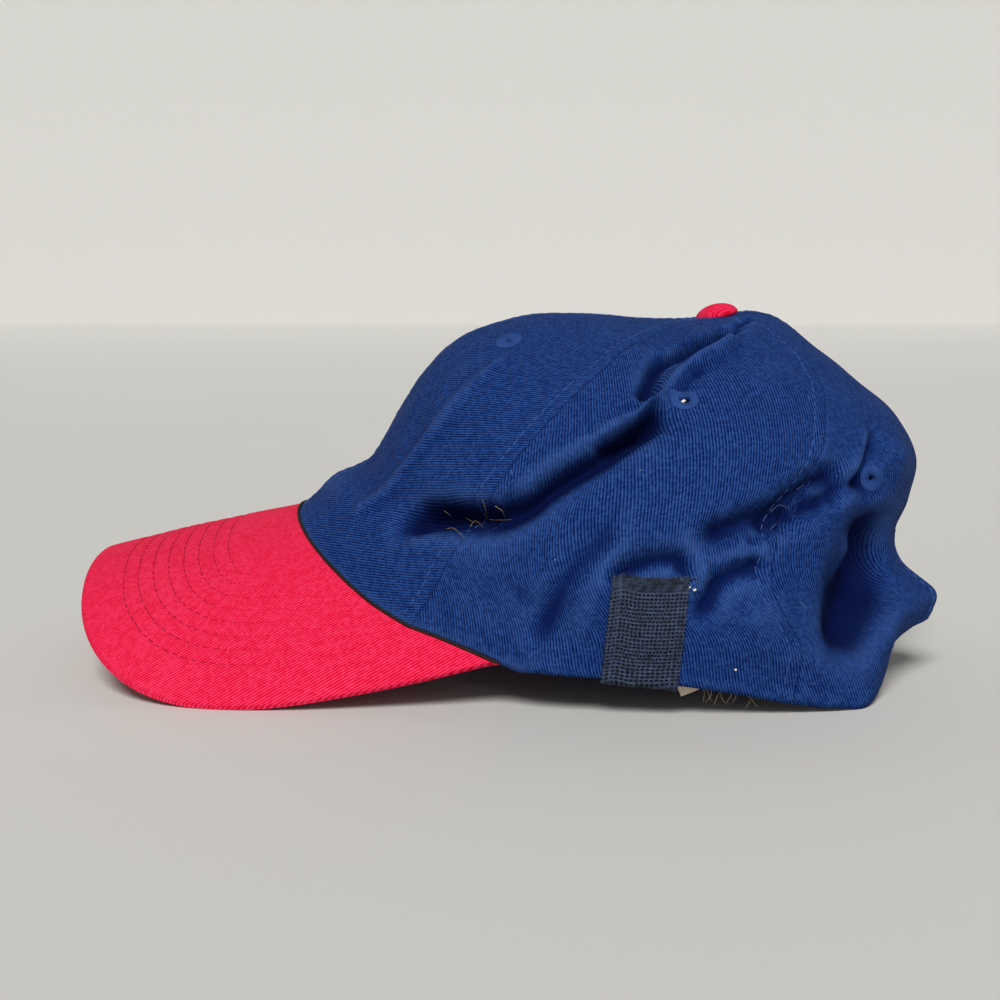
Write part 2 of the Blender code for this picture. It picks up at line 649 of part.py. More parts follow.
def crown_button(panels):
    """Cloth-covered button over the panels' meeting point, with a short shank."""
    tilt = math.radians(BUTTON_TILT)
    axis = np.array([0, -math.sin(tilt), math.cos(tilt)])
    ahead = np.array([0, math.cos(tilt), math.sin(tilt)])
    centre = section(np.array(0.0), np.array(1.0))
    offsets = []
    for radius in np.linspace(SHANK_RADIUS, BUTTON_RADIUS + GAP, 6):
        for turn in np.radians(np.arange(0, 360, 10)):
            offsets.append(radius * (math.cos(turn) * np.array([1.0, 0, 0]) + math.sin(turn) * ahead))
    seat = GAP + max(highest(tree_of(panel), centre, axis, offsets) for panel in panels)
    profile = [(0.0, seat - SHANK_DEPTH), (SHANK_RADIUS, seat - SHANK_DEPTH), (SHANK_RADIUS, seat)]
    profile.append((BUTTON_RADIUS * 0.93, seat))
    for k in range(6):
        a = math.radians(6 + 84 * k / 5)
        profile.append((BUTTON_RADIUS * math.cos(a), seat + BUTTON_HEIGHT * math.sin(a)))
    profile[-1] = (0.0, seat + BUTTON_HEIGHT)
    mesh = bpy.data.meshes.new("crown_button")
    edges = [(k, k + 1) for k in range(len(profile) - 1)]
    mesh.from_pydata([(r, 0, h) for r, h in profile], edges, [])
    button = link("crown_button", mesh, "button")
    button.location = centre
    button.rotation_euler = (tilt, 0, 0)
    turned = button.modifiers.new("turned", "SCREW")
    turned.axis = "Z"
    turned.angle = math.radians(360)
    turned.steps = turned.render_steps = 20
    turned.use_merge_vertices = True
    turned.merge_threshold = 0.00005
    turned.use_smooth_shade = True
    turned.use_normal_calculate = True
    return button


def mitred(path, out):
    """A line in X and Z moved sideways by the same distance all along."""
    step = np.diff(path[:, [0, 2]], axis=0)
    side = unit(np.stack([-step[:, 1], step[:, 0]], -1))
    first = np.concatenate([side[:1], side])
    second = np.concatenate([side, side[-1:]])
    middle = unit(first + second)
    scale = out / np.maximum((middle * first).sum(-1), 0.5)
    moved = path.copy()
    moved[:, [0, 2]] += middle * scale[:, None]
    return moved


def side_loop(cloth):
    """Woven loop that lies on the left side panel and turns in under its hem."""
    tree = tree_of(cloth)
    angle = np.linspace(84, 112, 120)
    hem_out, hem_in = crown_surface(angle, np.zeros_like(angle), 1.0)
    sideways = np.array([1.0, 0.0, 0.0])
    offsets = [np.array([0, a, b]) * CLOTH for a in (-0.8, 0, 0.8) for b in (-0.8, 0, 0.8)]
    lines = []
    for a in np.linspace(0, 1, 8):
        hem_y = LOOP_FRONT_HEM + a * LOOP_WIDTH
        top_y = LOOP_FRONT_TOP + a * LOOP_WIDTH
        hem_z = float(np.interp(hem_y, hem_out[:, 1], np.minimum(hem_out[:, 2], hem_in[:, 2])))
        inside = float(np.interp(hem_y, hem_in[:, 1], hem_in[:, 0]))
        path = []
        for s in np.linspace(0, 1, 13):
            z = LOOP_TOP + (hem_z + 2 * GAP - LOOP_TOP) * s
            y = top_y + (hem_y - top_y) * s
            foot = np.array([CROWN_HALF_WIDTH, y, z])
            path.append((CROWN_HALF_WIDTH + highest(tree, foot, sideways, offsets) + GAP, y, z))
        last = path[-1][0]
        path.append((last, hem_y, hem_z - 1.3 * GAP))
        path.append((inside - 2 * GAP, hem_y, hem_z - 1.3 * GAP))
        path.append((inside - 3 * GAP, hem_y, hem_z + LOOP_RETURN))
        lines.append(np.array(path))
    near = np.array(lines)
    far = np.array([mitred(path, LOOP_THICK) for path in lines])
    return shell("side_loop", far, near, "loop"), float(near[-1, -2, 0])


def care_label(beside):
    """Small blank label that hangs inside the left hem, one corner below it."""
    turn = math.radians(LABEL_TURN)
    along = np.array([0, math.cos(turn), math.sin(turn)])
    up = np.array([0, -math.sin(turn), math.cos(turn)])
    x = beside - LOOP_THICK - GAP
    corner = np.array([x, LABEL_CORNER_Y, LABEL_CORNER_Z])
    grid = []
    for a in np.linspace(0, 1, 4):
        lean = np.array([-0.0009 * a, 0, 0])
        grid.append([corner + along * LABEL_LENGTH * a + up * LABEL_HEIGHT * b + lean for b in (0, 0.5, 1)])
    outer = np.array(grid)
    return shell("care_label", outer, outer - np.array([LABEL_THICK, 0, 0]), "label")


def snap_strap(left, right):
    """Plain band across the rear opening, its ends inside the back panels."""
    trees = (tree_of(left), tree_of(right))
    x = np.linspace(-STRAP_HALF, STRAP_HALF, 15)
    low = STRAP_MIDDLE_Z + STRAP_END_LIFT * (x / STRAP_HALF) ** 2
    room = []
    for k, at in enumerate(x):
        tree = trees[0] if at > 0 else trees[1]
        for s in np.linspace(-0.03, 1.03, 9):
            start = Vector((at, 0.4 * CROWN_LENGTH, low[k] + STRAP_HEIGHT * s))
            hit = tree.ray_cast(start, Vector((0, 1, 0)), 0.5 * CROWN_LENGTH)[0]
            if hit is not None:
                room.append(hit.y + STRAP_BOW * at**2)
    y = min(room) - GAP - STRAP_BOW * x**2
    rows = np.array([0.0, 0.12, 0.5, 0.88, 1.0])
    front = np.stack([np.stack([x, y, low + STRAP_HEIGHT * r], -1) for r in rows], 1)
    around = unit(np.stack([2 * STRAP_BOW * x, np.ones_like(x), 0 * x], -1))
    return shell("snap_strap", front, front - around[:, None] * STRAP_THICK, "strap")


def centre_over_footprint():
    """Moves the whole cap so that its box is centred over the origin on the floor."""
    bpy.context.view_layer.update()
    graph = bpy.context.evaluated_depsgraph_get()
    corners = []
    for obj in cap.objects:
        box = obj.evaluated_get(graph).bound_box
        corners += [obj.matrix_world @ Vector(corner) for corner in box]
    low = np.array(corners).min(axis=0)
    high = np.array(corners).max(axis=0)
    shift = Vector((-(low[0] + high[0]) / 2, -(low[1] + high[1]) / 2, -low[2]))
    for obj in list(cap.objects) + list(cutters.objects):
        obj.location += shift
    print("moved by", [round(v, 6) for v in shift])


for old in list(bpy.data.objects):
    bpy.data.objects.remove(old)
cap = bpy.data.collections.new("snapback_cap")
cutters = bpy.data.collections.new("cutters")
bpy.context.scene.collection.children.link(cap)
bpy.context.scene.collection.children.link(cutters)
cutters.hide_render = True

cloths = {}
for side_name, side, columns, rows in SIDES:
    for panel, low, high in PANELS:
        cloths[panel, side_name] = crown_panel(side_name, side, panel, low, high, columns, rows)
visor()
visor_piping()
crown_button(list(cloths.values()))
side_loop_object, loop_inside = side_loop(cloths["side", "left"])
care_label(loop_inside)
snap_strap(cloths["back", "left"], cloths["back", "right"])
for side_name, side, columns, rows in SIDES:
    for panel, angle, share in EYELETS:
        eyelet(side_name, side, panel, angle, share, cloths[panel, side_name])
centre_over_footprint()
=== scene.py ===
"""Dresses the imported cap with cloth, stitches, embroidered eyelets and trim.

The wearer's front is -Y, the wearer's left is +X and up is +Z, in metres, as in the
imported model. Every visible cloth solid is replaced by a fine surface of the same form.
"""

import logging
import math
from collections.abc import Callable, Iterator
from contextlib import contextmanager
from dataclasses import dataclass, field
from enum import Enum
from typing import Any

import bpy
import numpy as np
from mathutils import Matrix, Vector
from mathutils.bvhtree import BVHTree


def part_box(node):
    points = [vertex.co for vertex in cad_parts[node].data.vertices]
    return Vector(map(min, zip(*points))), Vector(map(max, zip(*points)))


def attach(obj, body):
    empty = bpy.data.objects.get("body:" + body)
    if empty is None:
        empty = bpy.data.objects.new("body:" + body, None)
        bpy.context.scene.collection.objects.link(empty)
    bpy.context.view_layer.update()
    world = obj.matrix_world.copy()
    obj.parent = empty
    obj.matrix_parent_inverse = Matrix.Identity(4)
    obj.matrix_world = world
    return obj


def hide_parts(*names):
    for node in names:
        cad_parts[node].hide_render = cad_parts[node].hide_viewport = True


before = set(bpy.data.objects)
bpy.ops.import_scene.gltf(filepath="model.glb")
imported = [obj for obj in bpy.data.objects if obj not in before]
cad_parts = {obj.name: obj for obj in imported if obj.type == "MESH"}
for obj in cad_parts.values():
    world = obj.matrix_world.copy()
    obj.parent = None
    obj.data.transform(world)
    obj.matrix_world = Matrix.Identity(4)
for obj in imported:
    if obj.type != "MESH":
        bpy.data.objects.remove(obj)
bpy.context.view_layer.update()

Array = np.ndarray
Piece = bpy.types.Object
Material = bpy.types.Material
Colour = tuple[float, float, float]
Point = tuple[float, float, float]
Table = tuple[tuple[Any, ...], ...]
Faces = list[tuple[int, ...]]
Part = tuple[Array, Faces]

LOG = logging.getLogger("cap")
MM = 0.001
FULL_TURN = 2 * math.pi

RING_COLUMNS = (
    "share", "front_y", "front_z", "back_y", "back_z", "half_width", "side_z",
    "square_front", "square_back", "seam_1", "seam_2",
)
RINGS: Table = (
    (0.00, -0.323, 0.429, 0.672, 0.157, 1.000, 0.095, 2.15, 2.15, 52.0, 111.0),
    (0.10, -0.269, 0.519, 0.690, 0.233, 1.012, 0.210, 2.15, 2.15, 51.5, 111.0),
    (0.20, -0.210, 0.581, 0.636, 0.314, 1.012, 0.333, 2.15, 2.15, 51.0, 110.0),
    (0.30, -0.162, 0.724, 0.628, 0.395, 0.988, 0.457, 2.15, 2.15, 52.5, 111.0),
    (0.40, -0.115, 0.857, 0.651, 0.481, 0.941, 0.576, 2.10, 2.10, 53.5, 112.8),
    (0.50, -0.051, 0.952, 0.662, 0.590, 0.853, 0.690, 2.10, 2.10, 53.7, 113.6),
    (0.60, 0.028, 1.000, 0.631, 0.714, 0.724, 0.790, 2.05, 2.20, 53.0, 115.5),
    (0.70, 0.108, 1.014, 0.564, 0.819, 0.571, 0.871, 2.00, 2.40, 50.5, 121.5),
    (0.80, 0.188, 1.003, 0.505, 0.910, 0.406, 0.938, 2.00, 2.40, 48.5, 126.0),
    (0.90, 0.269, 0.996, 0.436, 1.006, 0.224, 0.986, 2.00, 2.20, 48.0, 128.0),
    (0.95, 0.310, 0.996, 0.397, 1.019, 0.112, 1.000, 2.00, 2.00, 53.0, 124.0),
    (1.00, 0.349, 1.000, 0.349, 1.000, 0.000, 1.000, 2.00, 2.00, 60.0, 120.0),
)
HEM_COLUMNS = ("angle", "x", "y", "z")
HEM: Table = (
    (60, 0.812, -0.126, 0.229),
    (72, 0.906, -0.021, 0.132),
    (80, 0.965, 0.054, 0.110),
    (90, 0.995, 0.144, 0.102),
    (100, 1.006, 0.236, 0.088),
    (110, 0.992, 0.331, 0.059),
    (120, 0.959, 0.410, 0.026),
    (128, 0.918, 0.482, 0.006),
    (134, 0.876, 0.521, 0.002),
    (140, 0.776, 0.551, 0.038),
    (148, 0.635, 0.579, 0.114),
    (156, 0.518, 0.621, 0.148),
    (162, 0.429, 0.659, 0.162),
    (170, 0.235, 0.672, 0.162),
    (180, 0.000, 0.677, 0.162),
)
FOLD_COLUMNS = ("name", "depth", "reach", "slide", "soft", "right", "path")
FOLDS: Table = (
    ("side_valley", -0.90, 0.46, 0.12, 1.3, 0.6, (
        (82.3, 0.571), (80.6, 0.551), (78.4, 0.524), (75.2, 0.466), (72.1, 0.420), (69.6, 0.371),
        (67.8, 0.324), (63.8, 0.284), (57.2, 0.255), (50.0, 0.230), (46.6, 0.197), (46.7, 0.152),
    )),
    ("side_lip", 0.20, 0.36, 0.60, 1.5, 0.6, (
        (74.5, 0.543), (72.6, 0.496), (69.9, 0.453), (67.5, 0.413), (65.5, 0.363), (63.6, 0.320),
    )),
    ("roll", 0.40, 0.27, 0.00, 1.5, 0.5, (
        (94.1, 0.822), (88.6, 0.760), (83.8, 0.716), (81.1, 0.665), (80.0, 0.610), (79.6, 0.580),
        (78.2, 0.563), (76.4, 0.544),
    )),
    ("roll_pocket", -0.50, 0.26, 0.25, 1.2, 0.5, (
        (97.0, 0.897), (82.3, 0.820), (77.6, 0.744), (73.8, 0.713), (73.4, 0.666), (75.0, 0.584),
    )),
    ("roll_low_pocket", -0.30, 0.26, 0.00, 1.2, 0.5, (
        (85.3, 0.712), (82.8, 0.670), (81.5, 0.627), (81.4, 0.585),
    )),
    ("rear_upper_valley", -0.55, 0.42, 0.10, 1.2, 0.7, (
        (129.5, 0.444), (124.8, 0.442), (120.1, 0.409), (116.7, 0.368), (112.2, 0.343), (108.1, 0.320),
        (102.9, 0.309),
    )),
    ("rear_upper_second", -0.38, 0.30, 0.00, 1.0, 0.5, (
        (135.8, 0.455), (131.1, 0.425), (127.1, 0.394), (123.3, 0.366), (119.6, 0.339), (115.0, 0.310),
    )),
    ("rear_crumple", 0.12, 0.22, 0.00, 1.0, 0.5, (
        (128.2, 0.421), (122.9, 0.398), (119.8, 0.357),
    )),
    ("eyelet_hollow", -0.30, 0.40, 0.30, 1.2, 0.6, (
        (138.5, 0.560), (135.0, 0.475), (141.0, 0.390),
    )),
    ("rear_ridge", 0.20, 0.35, 0.00, 1.2, 0.6, (
        (134.0, 0.565), (131.0, 0.465), (131.5, 0.375),
    )),
    ("rear_trough", -1.10, 0.85, 0.00, 1.0, 0.8, (
        (144.2, 0.380), (147.7, 0.288), (147.4, 0.216), (139.6, 0.172), (124.3, 0.101),
    )),
    ("loop_valley", -0.38, 0.32, 0.20, 1.2, 0.0, (
        (90.7, 0.214), (94.4, 0.247), (98.2, 0.269), (101.9, 0.266), (105.4, 0.226),
    )),
    ("loop_side_ridge", 0.14, 0.26, 0.00, 1.2, 0.4, (
        (103.8, 0.269), (106.5, 0.233), (105.9, 0.186),
    )),
    ("loop_side_pocket", -0.34, 0.34, -0.20, 1.2, 0.4, (
        (118.9, 0.233), (114.6, 0.249), (110.3, 0.228), (107.0, 0.181), (103.8, 0.145),
    )),
    ("side_soft_ridge", 0.18, 0.48, 0.00, 1.5, 0.8, (
        (89.2, 0.378), (90.4, 0.259), (88.0, 0.176), (83.8, 0.072),
    )),
    ("side_soft_valley", -0.26, 0.42, 0.00, 1.4, 0.8, (
        (87.6, 0.347), (87.6, 0.295), (85.4, 0.243), (82.7, 0.176), (79.5, 0.108), (78.4, 0.051),
    )),
    ("side_dimple", -0.12, 0.36, 0.00, 1.0, 0.8, (
        (76.8, 0.186), (75.7, 0.165), (74.6, 0.139),
    )),
    ("front_ridge", 0.14, 0.30, 0.00, 1.5, 0.6, (
        (35.1, 0.545), (35.5, 0.400), (33.0, 0.270), (30.3, 0.103),
    )),
    ("rear_puff", 0.25, 0.70, 0.00, 1.0, 0.8, (
        (147.0, 0.575), (146.5, 0.525), (143.0, 0.470),
    )),
    ("side_puff", 0.20, 1.30, 0.00, 1.0, 1.0, (
        (102.5, 0.610), (101.5, 0.490), (101.0, 0.410),
    )),
    ("low_puff", 0.25, 0.80, 0.00, 1.0, 1.0, (
        (117.5, 0.235), (116.5, 0.160), (111.5, 0.090),
    )),
)

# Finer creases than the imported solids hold, with the same columns
CREASES: Table = (
    ("valley_slit", -0.50, 0.17, 0.40, 1.5, 0.6, (
        (81.0, 0.566), (79.2, 0.551), (77.8, 0.537), (76.0, 0.517), (74.2, 0.492), (72.7, 0.468),
    )),
    ("roll_end", 0.30, 0.22, 0.40, 1.2, 0.6, (
        (78.6, 0.600), (77.6, 0.580), (76.2, 0.560), (74.9, 0.540), (73.2, 0.512), (71.5, 0.480),
    )),
    ("front_valley", -0.30, 0.28, 0.10, 1.2, 0.6, (
        (63.3, 0.288), (58.3, 0.266), (52.1, 0.244), (47.0, 0.217), (46.6, 0.183),
    )),
    ("trough_edge", -0.20, 0.55, 0.10, 1.2, 0.8, (
        (143.0, 0.362), (139.5, 0.320), (137.0, 0.270), (135.0, 0.220), (133.0, 0.170),
    )),
    ("seam_short", -0.16, 0.16, 0.00, 1.0, 0.6, (
        (113.7, 0.317), (115.2, 0.289),
    )),
    ("seam_lower", -0.14, 0.16, 0.00, 1.0, 0.6, (
        (115.2, 0.276), (118.1, 0.243),
    )),
    ("crown_tuck", -0.16, 0.20, 0.20, 1.2, 0.6, (
        (120.9, 0.929), (97.4, 0.901), (88.3, 0.866),
    )),
)
# Crumpled places: panel angle, share, radius and height in millimetres
CRUMPLES: Table = (
    (55.0, 0.250, 8.0, 0.30),
    (122.0, 0.395, 9.0, 0.34),
    (114.5, 0.300, 8.0, 0.22),
    (107.0, 0.225, 6.0, 0.16),
)


# Small sums on arrays


def column(table: Table, names: tuple[str, ...], name: str) -> Array:
    """One named column of a table."""
    place = names.index(name)
    return np.array([row[place] for row in table], float)


def through(at: Array, knots: Array, values: Array) -> Array:
    """Smooth curve through a table's values.

    Args:
        at: Where the curve is read.
        knots: Places of the table's rows.
        values: Values of the table's rows.

    Returns:
        The values there.
    """
    at = np.asarray(at, float)
    slopes = np.gradient(values, knots)
    k = np.clip(np.searchsorted(knots, at, side="right") - 1, 0, len(knots) - 2)
    span = knots[k + 1] - knots[k]
    s = np.clip((at - knots[k]) / span, 0.0, 1.0)
    start = values[k] * (2 * s**3 - 3 * s**2 + 1) + span * slopes[k] * (s**3 - 2 * s**2 + s)
    end = values[k + 1] * (3 * s**2 - 2 * s**3) + span * slopes[k + 1] * (s**3 - s**2)
    return start + end


def ease(low: float, high: float, value: Array) -> Array:
    """0 below low, 1 above high, smooth between."""
    s = np.clip((value - low) / (high - low), 0.0, 1.0)
    return s * s * (3 - 2 * s)


def hump(value: Array, middle: float, reach: float) -> Array:
    """1 at the middle, falling smoothly to 0 beyond the reach."""
    return np.exp(-(((value - middle) / reach) ** 2))


def unit(vectors: Array) -> Array:
    """Vectors made one long."""
    return vectors / np.maximum(np.linalg.norm(vectors, axis=-1, keepdims=True), 1e-12)


def lengths_along(points: Array) -> Array:
    """Distance along a line of points from its first one."""
    steps = np.linalg.norm(np.diff(points, axis=0), axis=-1)
    return np.concatenate([np.zeros((1, *steps.shape[1:])), np.cumsum(steps, axis=0)])


def at_lengths(points: Array, where: Array) -> Array:
    """Points of a line at given distances from its start."""
    length = lengths_along(points)
    return np.stack([np.interp(where, length, points[:, k]) for k in range(points.shape[1])], -1)


def even_steps(points: Array, count: int) -> Array:
    """Points the same distance apart along a line."""
    return at_lengths(points, np.linspace(0, lengths_along(points)[-1], count))


@dataclass(frozen=True)
class Ripples:
    """A sum of sine waves in space, for slack in the cloth.

    Attributes:
        seed: Start of the random draws.
        count: Number of waves.
        shortest: Shortest wavelength in metres.
        longest: Longest wavelength in metres.
    """

    seed: int
    count: int
    shortest: float
    longest: float

    def at(self, points: Array) -> Array:
        """Height of the ripples, mostly within -1 to 1, at points in space."""
        draw = np.random.default_rng(self.seed)
        total = np.zeros(points.shape[:-1])
        for _ in range(self.count):
            way = unit(draw.normal(size=3))
            wave = FULL_TURN / draw.uniform(self.shortest, self.longest)
            total += np.sin(points @ way * wave + draw.uniform(0, FULL_TURN))
        return total / math.sqrt(self.count)


# Making meshes


def linked(name: str, data: bpy.types.ID) -> Piece:
    """A new object of some data, in the scene."""
    made = bpy.data.objects.new(name, data)
    bpy.context.scene.collection.objects.link(made)
    return made


def mesh_object(name: str, part: Part) -> Piece:
    """A smooth mesh object in the scene, with its place in its mesh.

    Args:
        name: Name of the piece.
        part: Its vertices and faces.

    Returns:
        The object.
    """
    points, faces = part
    mesh = bpy.data.meshes.new(name)
    mesh.from_pydata(np.asarray(points, float).tolist(), [], faces)
    mesh.polygons.foreach_set("use_smooth", [True] * len(mesh.polygons))
    return linked(name, mesh)


def primitive(operator: Callable[..., Any], **sizes: Any) -> Piece:
    """Adds a primitive with nothing else selected.

    Args:
        operator: The operator that adds it.
        sizes: The operator's settings.

    Returns:
        The object.
    """
    bpy.ops.object.select_all(action="DESELECT")
    operator(**sizes)
    return bpy.context.object


def select_only(piece: Piece) -> None:
    """Makes one piece the only selected and active one."""
    bpy.ops.object.select_all(action="DESELECT")
    piece.select_set(True)
    bpy.context.view_layer.objects.active = piece


@contextmanager
def editing(piece: Piece) -> Iterator[None]:
    """Edit mode on one piece, with all of it selected."""
    select_only(piece)
    bpy.ops.object.mode_set(mode="EDIT")
    bpy.ops.mesh.select_all(action="SELECT")
    yield
    bpy.ops.object.mode_set(mode="OBJECT")


def face_outwards(piece: Piece) -> None:
    """Turns every face of a closed piece to look outwards."""
    with editing(piece):
        bpy.ops.mesh.normals_make_consistent(inside=False)


def vertex_places(piece: Piece) -> Array:
    """Places of a piece's vertices."""
    return np.array([v.co for v in piece.data.vertices])


def move_vertices(piece: Piece, points: Array) -> None:
    """Puts a piece's vertices at new places."""
    piece.data.vertices.foreach_set("co", points.astype(np.float32).ravel())
    piece.data.update()


def part_of(piece: Piece) -> Part:
    """Vertices and faces of a piece."""
    return vertex_places(piece), [tuple(face.vertices) for face in piece.data.polygons]


def taken_out(piece: Piece) -> Part:
    """Vertices and faces of a shape to copy, which itself is removed."""
    part = part_of(piece)
    bpy.data.objects.remove(piece)
    return part


def add_cloth_map(piece: Piece, flat: Array) -> None:
    """Makes "cloth" the only UV map: each vertex's place on the flat cloth in metres."""
    for old in list(piece.data.uv_layers):
        piece.data.uv_layers.remove(old)
    layer = piece.data.uv_layers.new(name="cloth")
    corners = np.empty(len(piece.data.loops), np.int32)
    piece.data.loops.foreach_get("vertex_index", corners)
    layer.data.foreach_set("uv", flat.reshape(-1, 2)[corners].astype(np.float32).ravel())


def add_values(piece: Piece, name: str, values: Array) -> None:
    """Adds a number for each vertex, which a material can read by name."""
    layer = piece.data.attributes.new(name, "FLOAT", "POINT")
    layer.data.foreach_set("value", np.asarray(values, np.float32).ravel())


def dress(piece: Piece, finish: Material, node: str = "") -> None:
    """Gives a piece its material, its body and the solid that it stands for.

    Args:
        piece: The piece.
        finish: Its material.
        node: Name of the solid that it replaces, if any.
    """
    piece.data.materials.append(finish)
    if node:
        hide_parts(node)
    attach(piece, "root")


def shell_faces(rows: int, columns: int, open_cells: set[tuple[int, int]]) -> Faces:
    """Faces of a closed wall between two grids of the same shape.

    Args:
        rows: Points of a grid along its first way.
        columns: Points along its second way.
        open_cells: Cells left out, as where a hole goes through.

    Returns:
        The faces, with the second grid's numbers after the first's.
    """
    behind = rows * columns
    index = np.arange(behind).reshape(rows, columns)
    faces: Faces = []
    for i in range(rows - 1):
        for j in range(columns - 1):
            if (i, j) in open_cells:
                continue
            a, b = int(index[i, j]), int(index[i + 1, j])
            c, d = int(index[i + 1, j + 1]), int(index[i, j + 1])
            faces.append((a, b, c, d))
            faces.append((d + behind, c + behind, b + behind, a + behind))
            beside = (((i, j - 1), a, b), ((i + 1, j), b, c), ((i, j + 1), c, d), ((i - 1, j), d, a))
            for (p, q), first, second in beside:
                outside = not (0 <= p < rows - 1 and 0 <= q < columns - 1)
                if outside or (p, q) in open_cells:
                    faces.append((second, first, first + behind, second + behind))
    return faces


def both_walls(front: Array, back: Array) -> Array:
    """Values of two grids one after the other, a row for each point."""
    return np.concatenate([front.reshape(-1, front.shape[-1]), back.reshape(-1, back.shape[-1])])


def grid_normals(grid: Array) -> Array:
    """Direction square to a grid of points."""
    return unit(np.cross(np.gradient(grid, axis=0), np.gradient(grid, axis=1)))


def smoothed(values: Array, across: int, along: int) -> Array:
    """A grid of values averaged over its neighbours in both ways."""
    for axis, reach in ((0, across), (1, along)):
        weights = np.hanning(2 * reach + 3)[1:-1]
        weights /= weights.sum()
        pad = [(reach, reach) if k == axis else (0, 0) for k in range(2)]
        padded = np.pad(values, pad, mode="edge")
        values = np.apply_along_axis(lambda line: np.convolve(line, weights, mode="valid"), axis, padded)
    return values


def prominence(grid: Array, normals: Array, reach: int = 5) -> Array:
    """How far each point of a grid stands out from its neighbourhood."""
    mean = np.stack([smoothed(grid[..., k], reach, reach) for k in range(3)], -1)
    return ((grid - mean) * normals).sum(-1)


def tube(path: Array, radii: Array, sides: int) -> Part:
    """Round tube along a path, closed at both ends.

    Args:
        path: Points of its centre line.
        radii: Radius at each of them.
        sides: Points around it.

    Returns:
        Its vertices and faces.
    """
    along = unit(np.gradient(path, axis=0))
    upright = abs(along[0, 2]) >= 0.9
    side = unit(np.cross(along[0], [1.0, 0.0, 0.0] if upright else [0.0, 0.0, 1.0]))
    turn = FULL_TURN * np.arange(sides)[:, None] / sides
    rings = []
    for point, way, radius in zip(path, along, radii):
        side = unit(side - way * (side @ way))
        rings.append(point + radius * (np.cos(turn) * side + np.sin(turn) * np.cross(way, side)))
    faces: Faces = []
    for i in range(len(path) - 1):
        for k in range(sides):
            a, b = i * sides + k, i * sides + (k + 1) % sides
            faces.append((a, b, b + sides, a + sides))
    last = (len(path) - 1) * sides
    faces.append(tuple(range(sides))[::-1])
    faces.append(tuple(last + k for k in range(sides)))
    return np.concatenate(rings), faces


def join_parts(parts: list[Part]) -> Part:
    """Vertices and faces of several meshes as one."""
    points: list[Array] = []
    faces: Faces = []
    count = 0
    for vertices, its_faces in parts:
        points.append(vertices)
        faces += [tuple(v + count for v in face) for face in its_faces]
        count += len(vertices)
    return np.concatenate(points), faces


def surface_tree(piece: Piece) -> BVHTree:
    """Faces of a piece, for finding what lies under a point."""
    points, faces = part_of(piece)
    return BVHTree.FromPolygons(points.tolist(), faces)


def surface_height(tree: BVHTree, foot: Array, normal: Array, reach: float = 8 * MM) -> float:
    """How far a surface lies above a point along a direction."""
    hit = tree.ray_cast(Vector(foot + normal * reach), Vector(-normal), 2 * reach)[0]
    return 0.0 if hit is None else float((np.array(hit) - foot) @ normal)


# Materials


class Wire:
    """One output of a shader node, with arithmetic that adds Math nodes."""

    def __init__(self, graph: "Graph", socket: bpy.types.NodeSocket) -> None:
        """Wraps an output socket of a graph."""
        self.graph = graph
        self.socket = socket

    def __add__(self, other: "Wire | float") -> "Wire":
        """Sum."""
        return self.graph.math("ADD", self, other)

    __radd__ = __add__

    def __sub__(self, other: "Wire | float") -> "Wire":
        """Difference."""
        return self.graph.math("SUBTRACT", self, other)

    def __rsub__(self, other: float) -> "Wire":
        """Difference with a number first."""
        return self.graph.math("SUBTRACT", other, self)

    def __mul__(self, other: "Wire | float") -> "Wire":
        """Product."""
        return self.graph.math("MULTIPLY", self, other)

    __rmul__ = __mul__

    def __truediv__(self, other: "Wire | float") -> "Wire":
        """Quotient."""
        return self.graph.math("DIVIDE", self, other)

    def sine(self) -> "Wire":
        """Sine."""
        return self.graph.math("SINE", self)

    def wave(self) -> "Wire":
        """A wave between 0 and 1 that repeats at each whole number."""
        return (self * FULL_TURN).sine() * 0.5 + 0.5

    def floor(self) -> "Wire":
        """Whole number below."""
        return self.graph.math("FLOOR", self)

    def clamped(self) -> "Wire":
        """The value kept within 0 and 1."""
        return self.graph.math("MINIMUM", self.graph.math("MAXIMUM", self, 0.0), 1.0)

    def between(self, low: float, high: float) -> "Wire":
        """0 below low, 1 above high, smooth between."""
        settings = {"interpolation_type": "SMOOTHSTEP"}
        return self.graph.node("ShaderNodeMapRange", settings, {0: self, 1: low, 2: high})


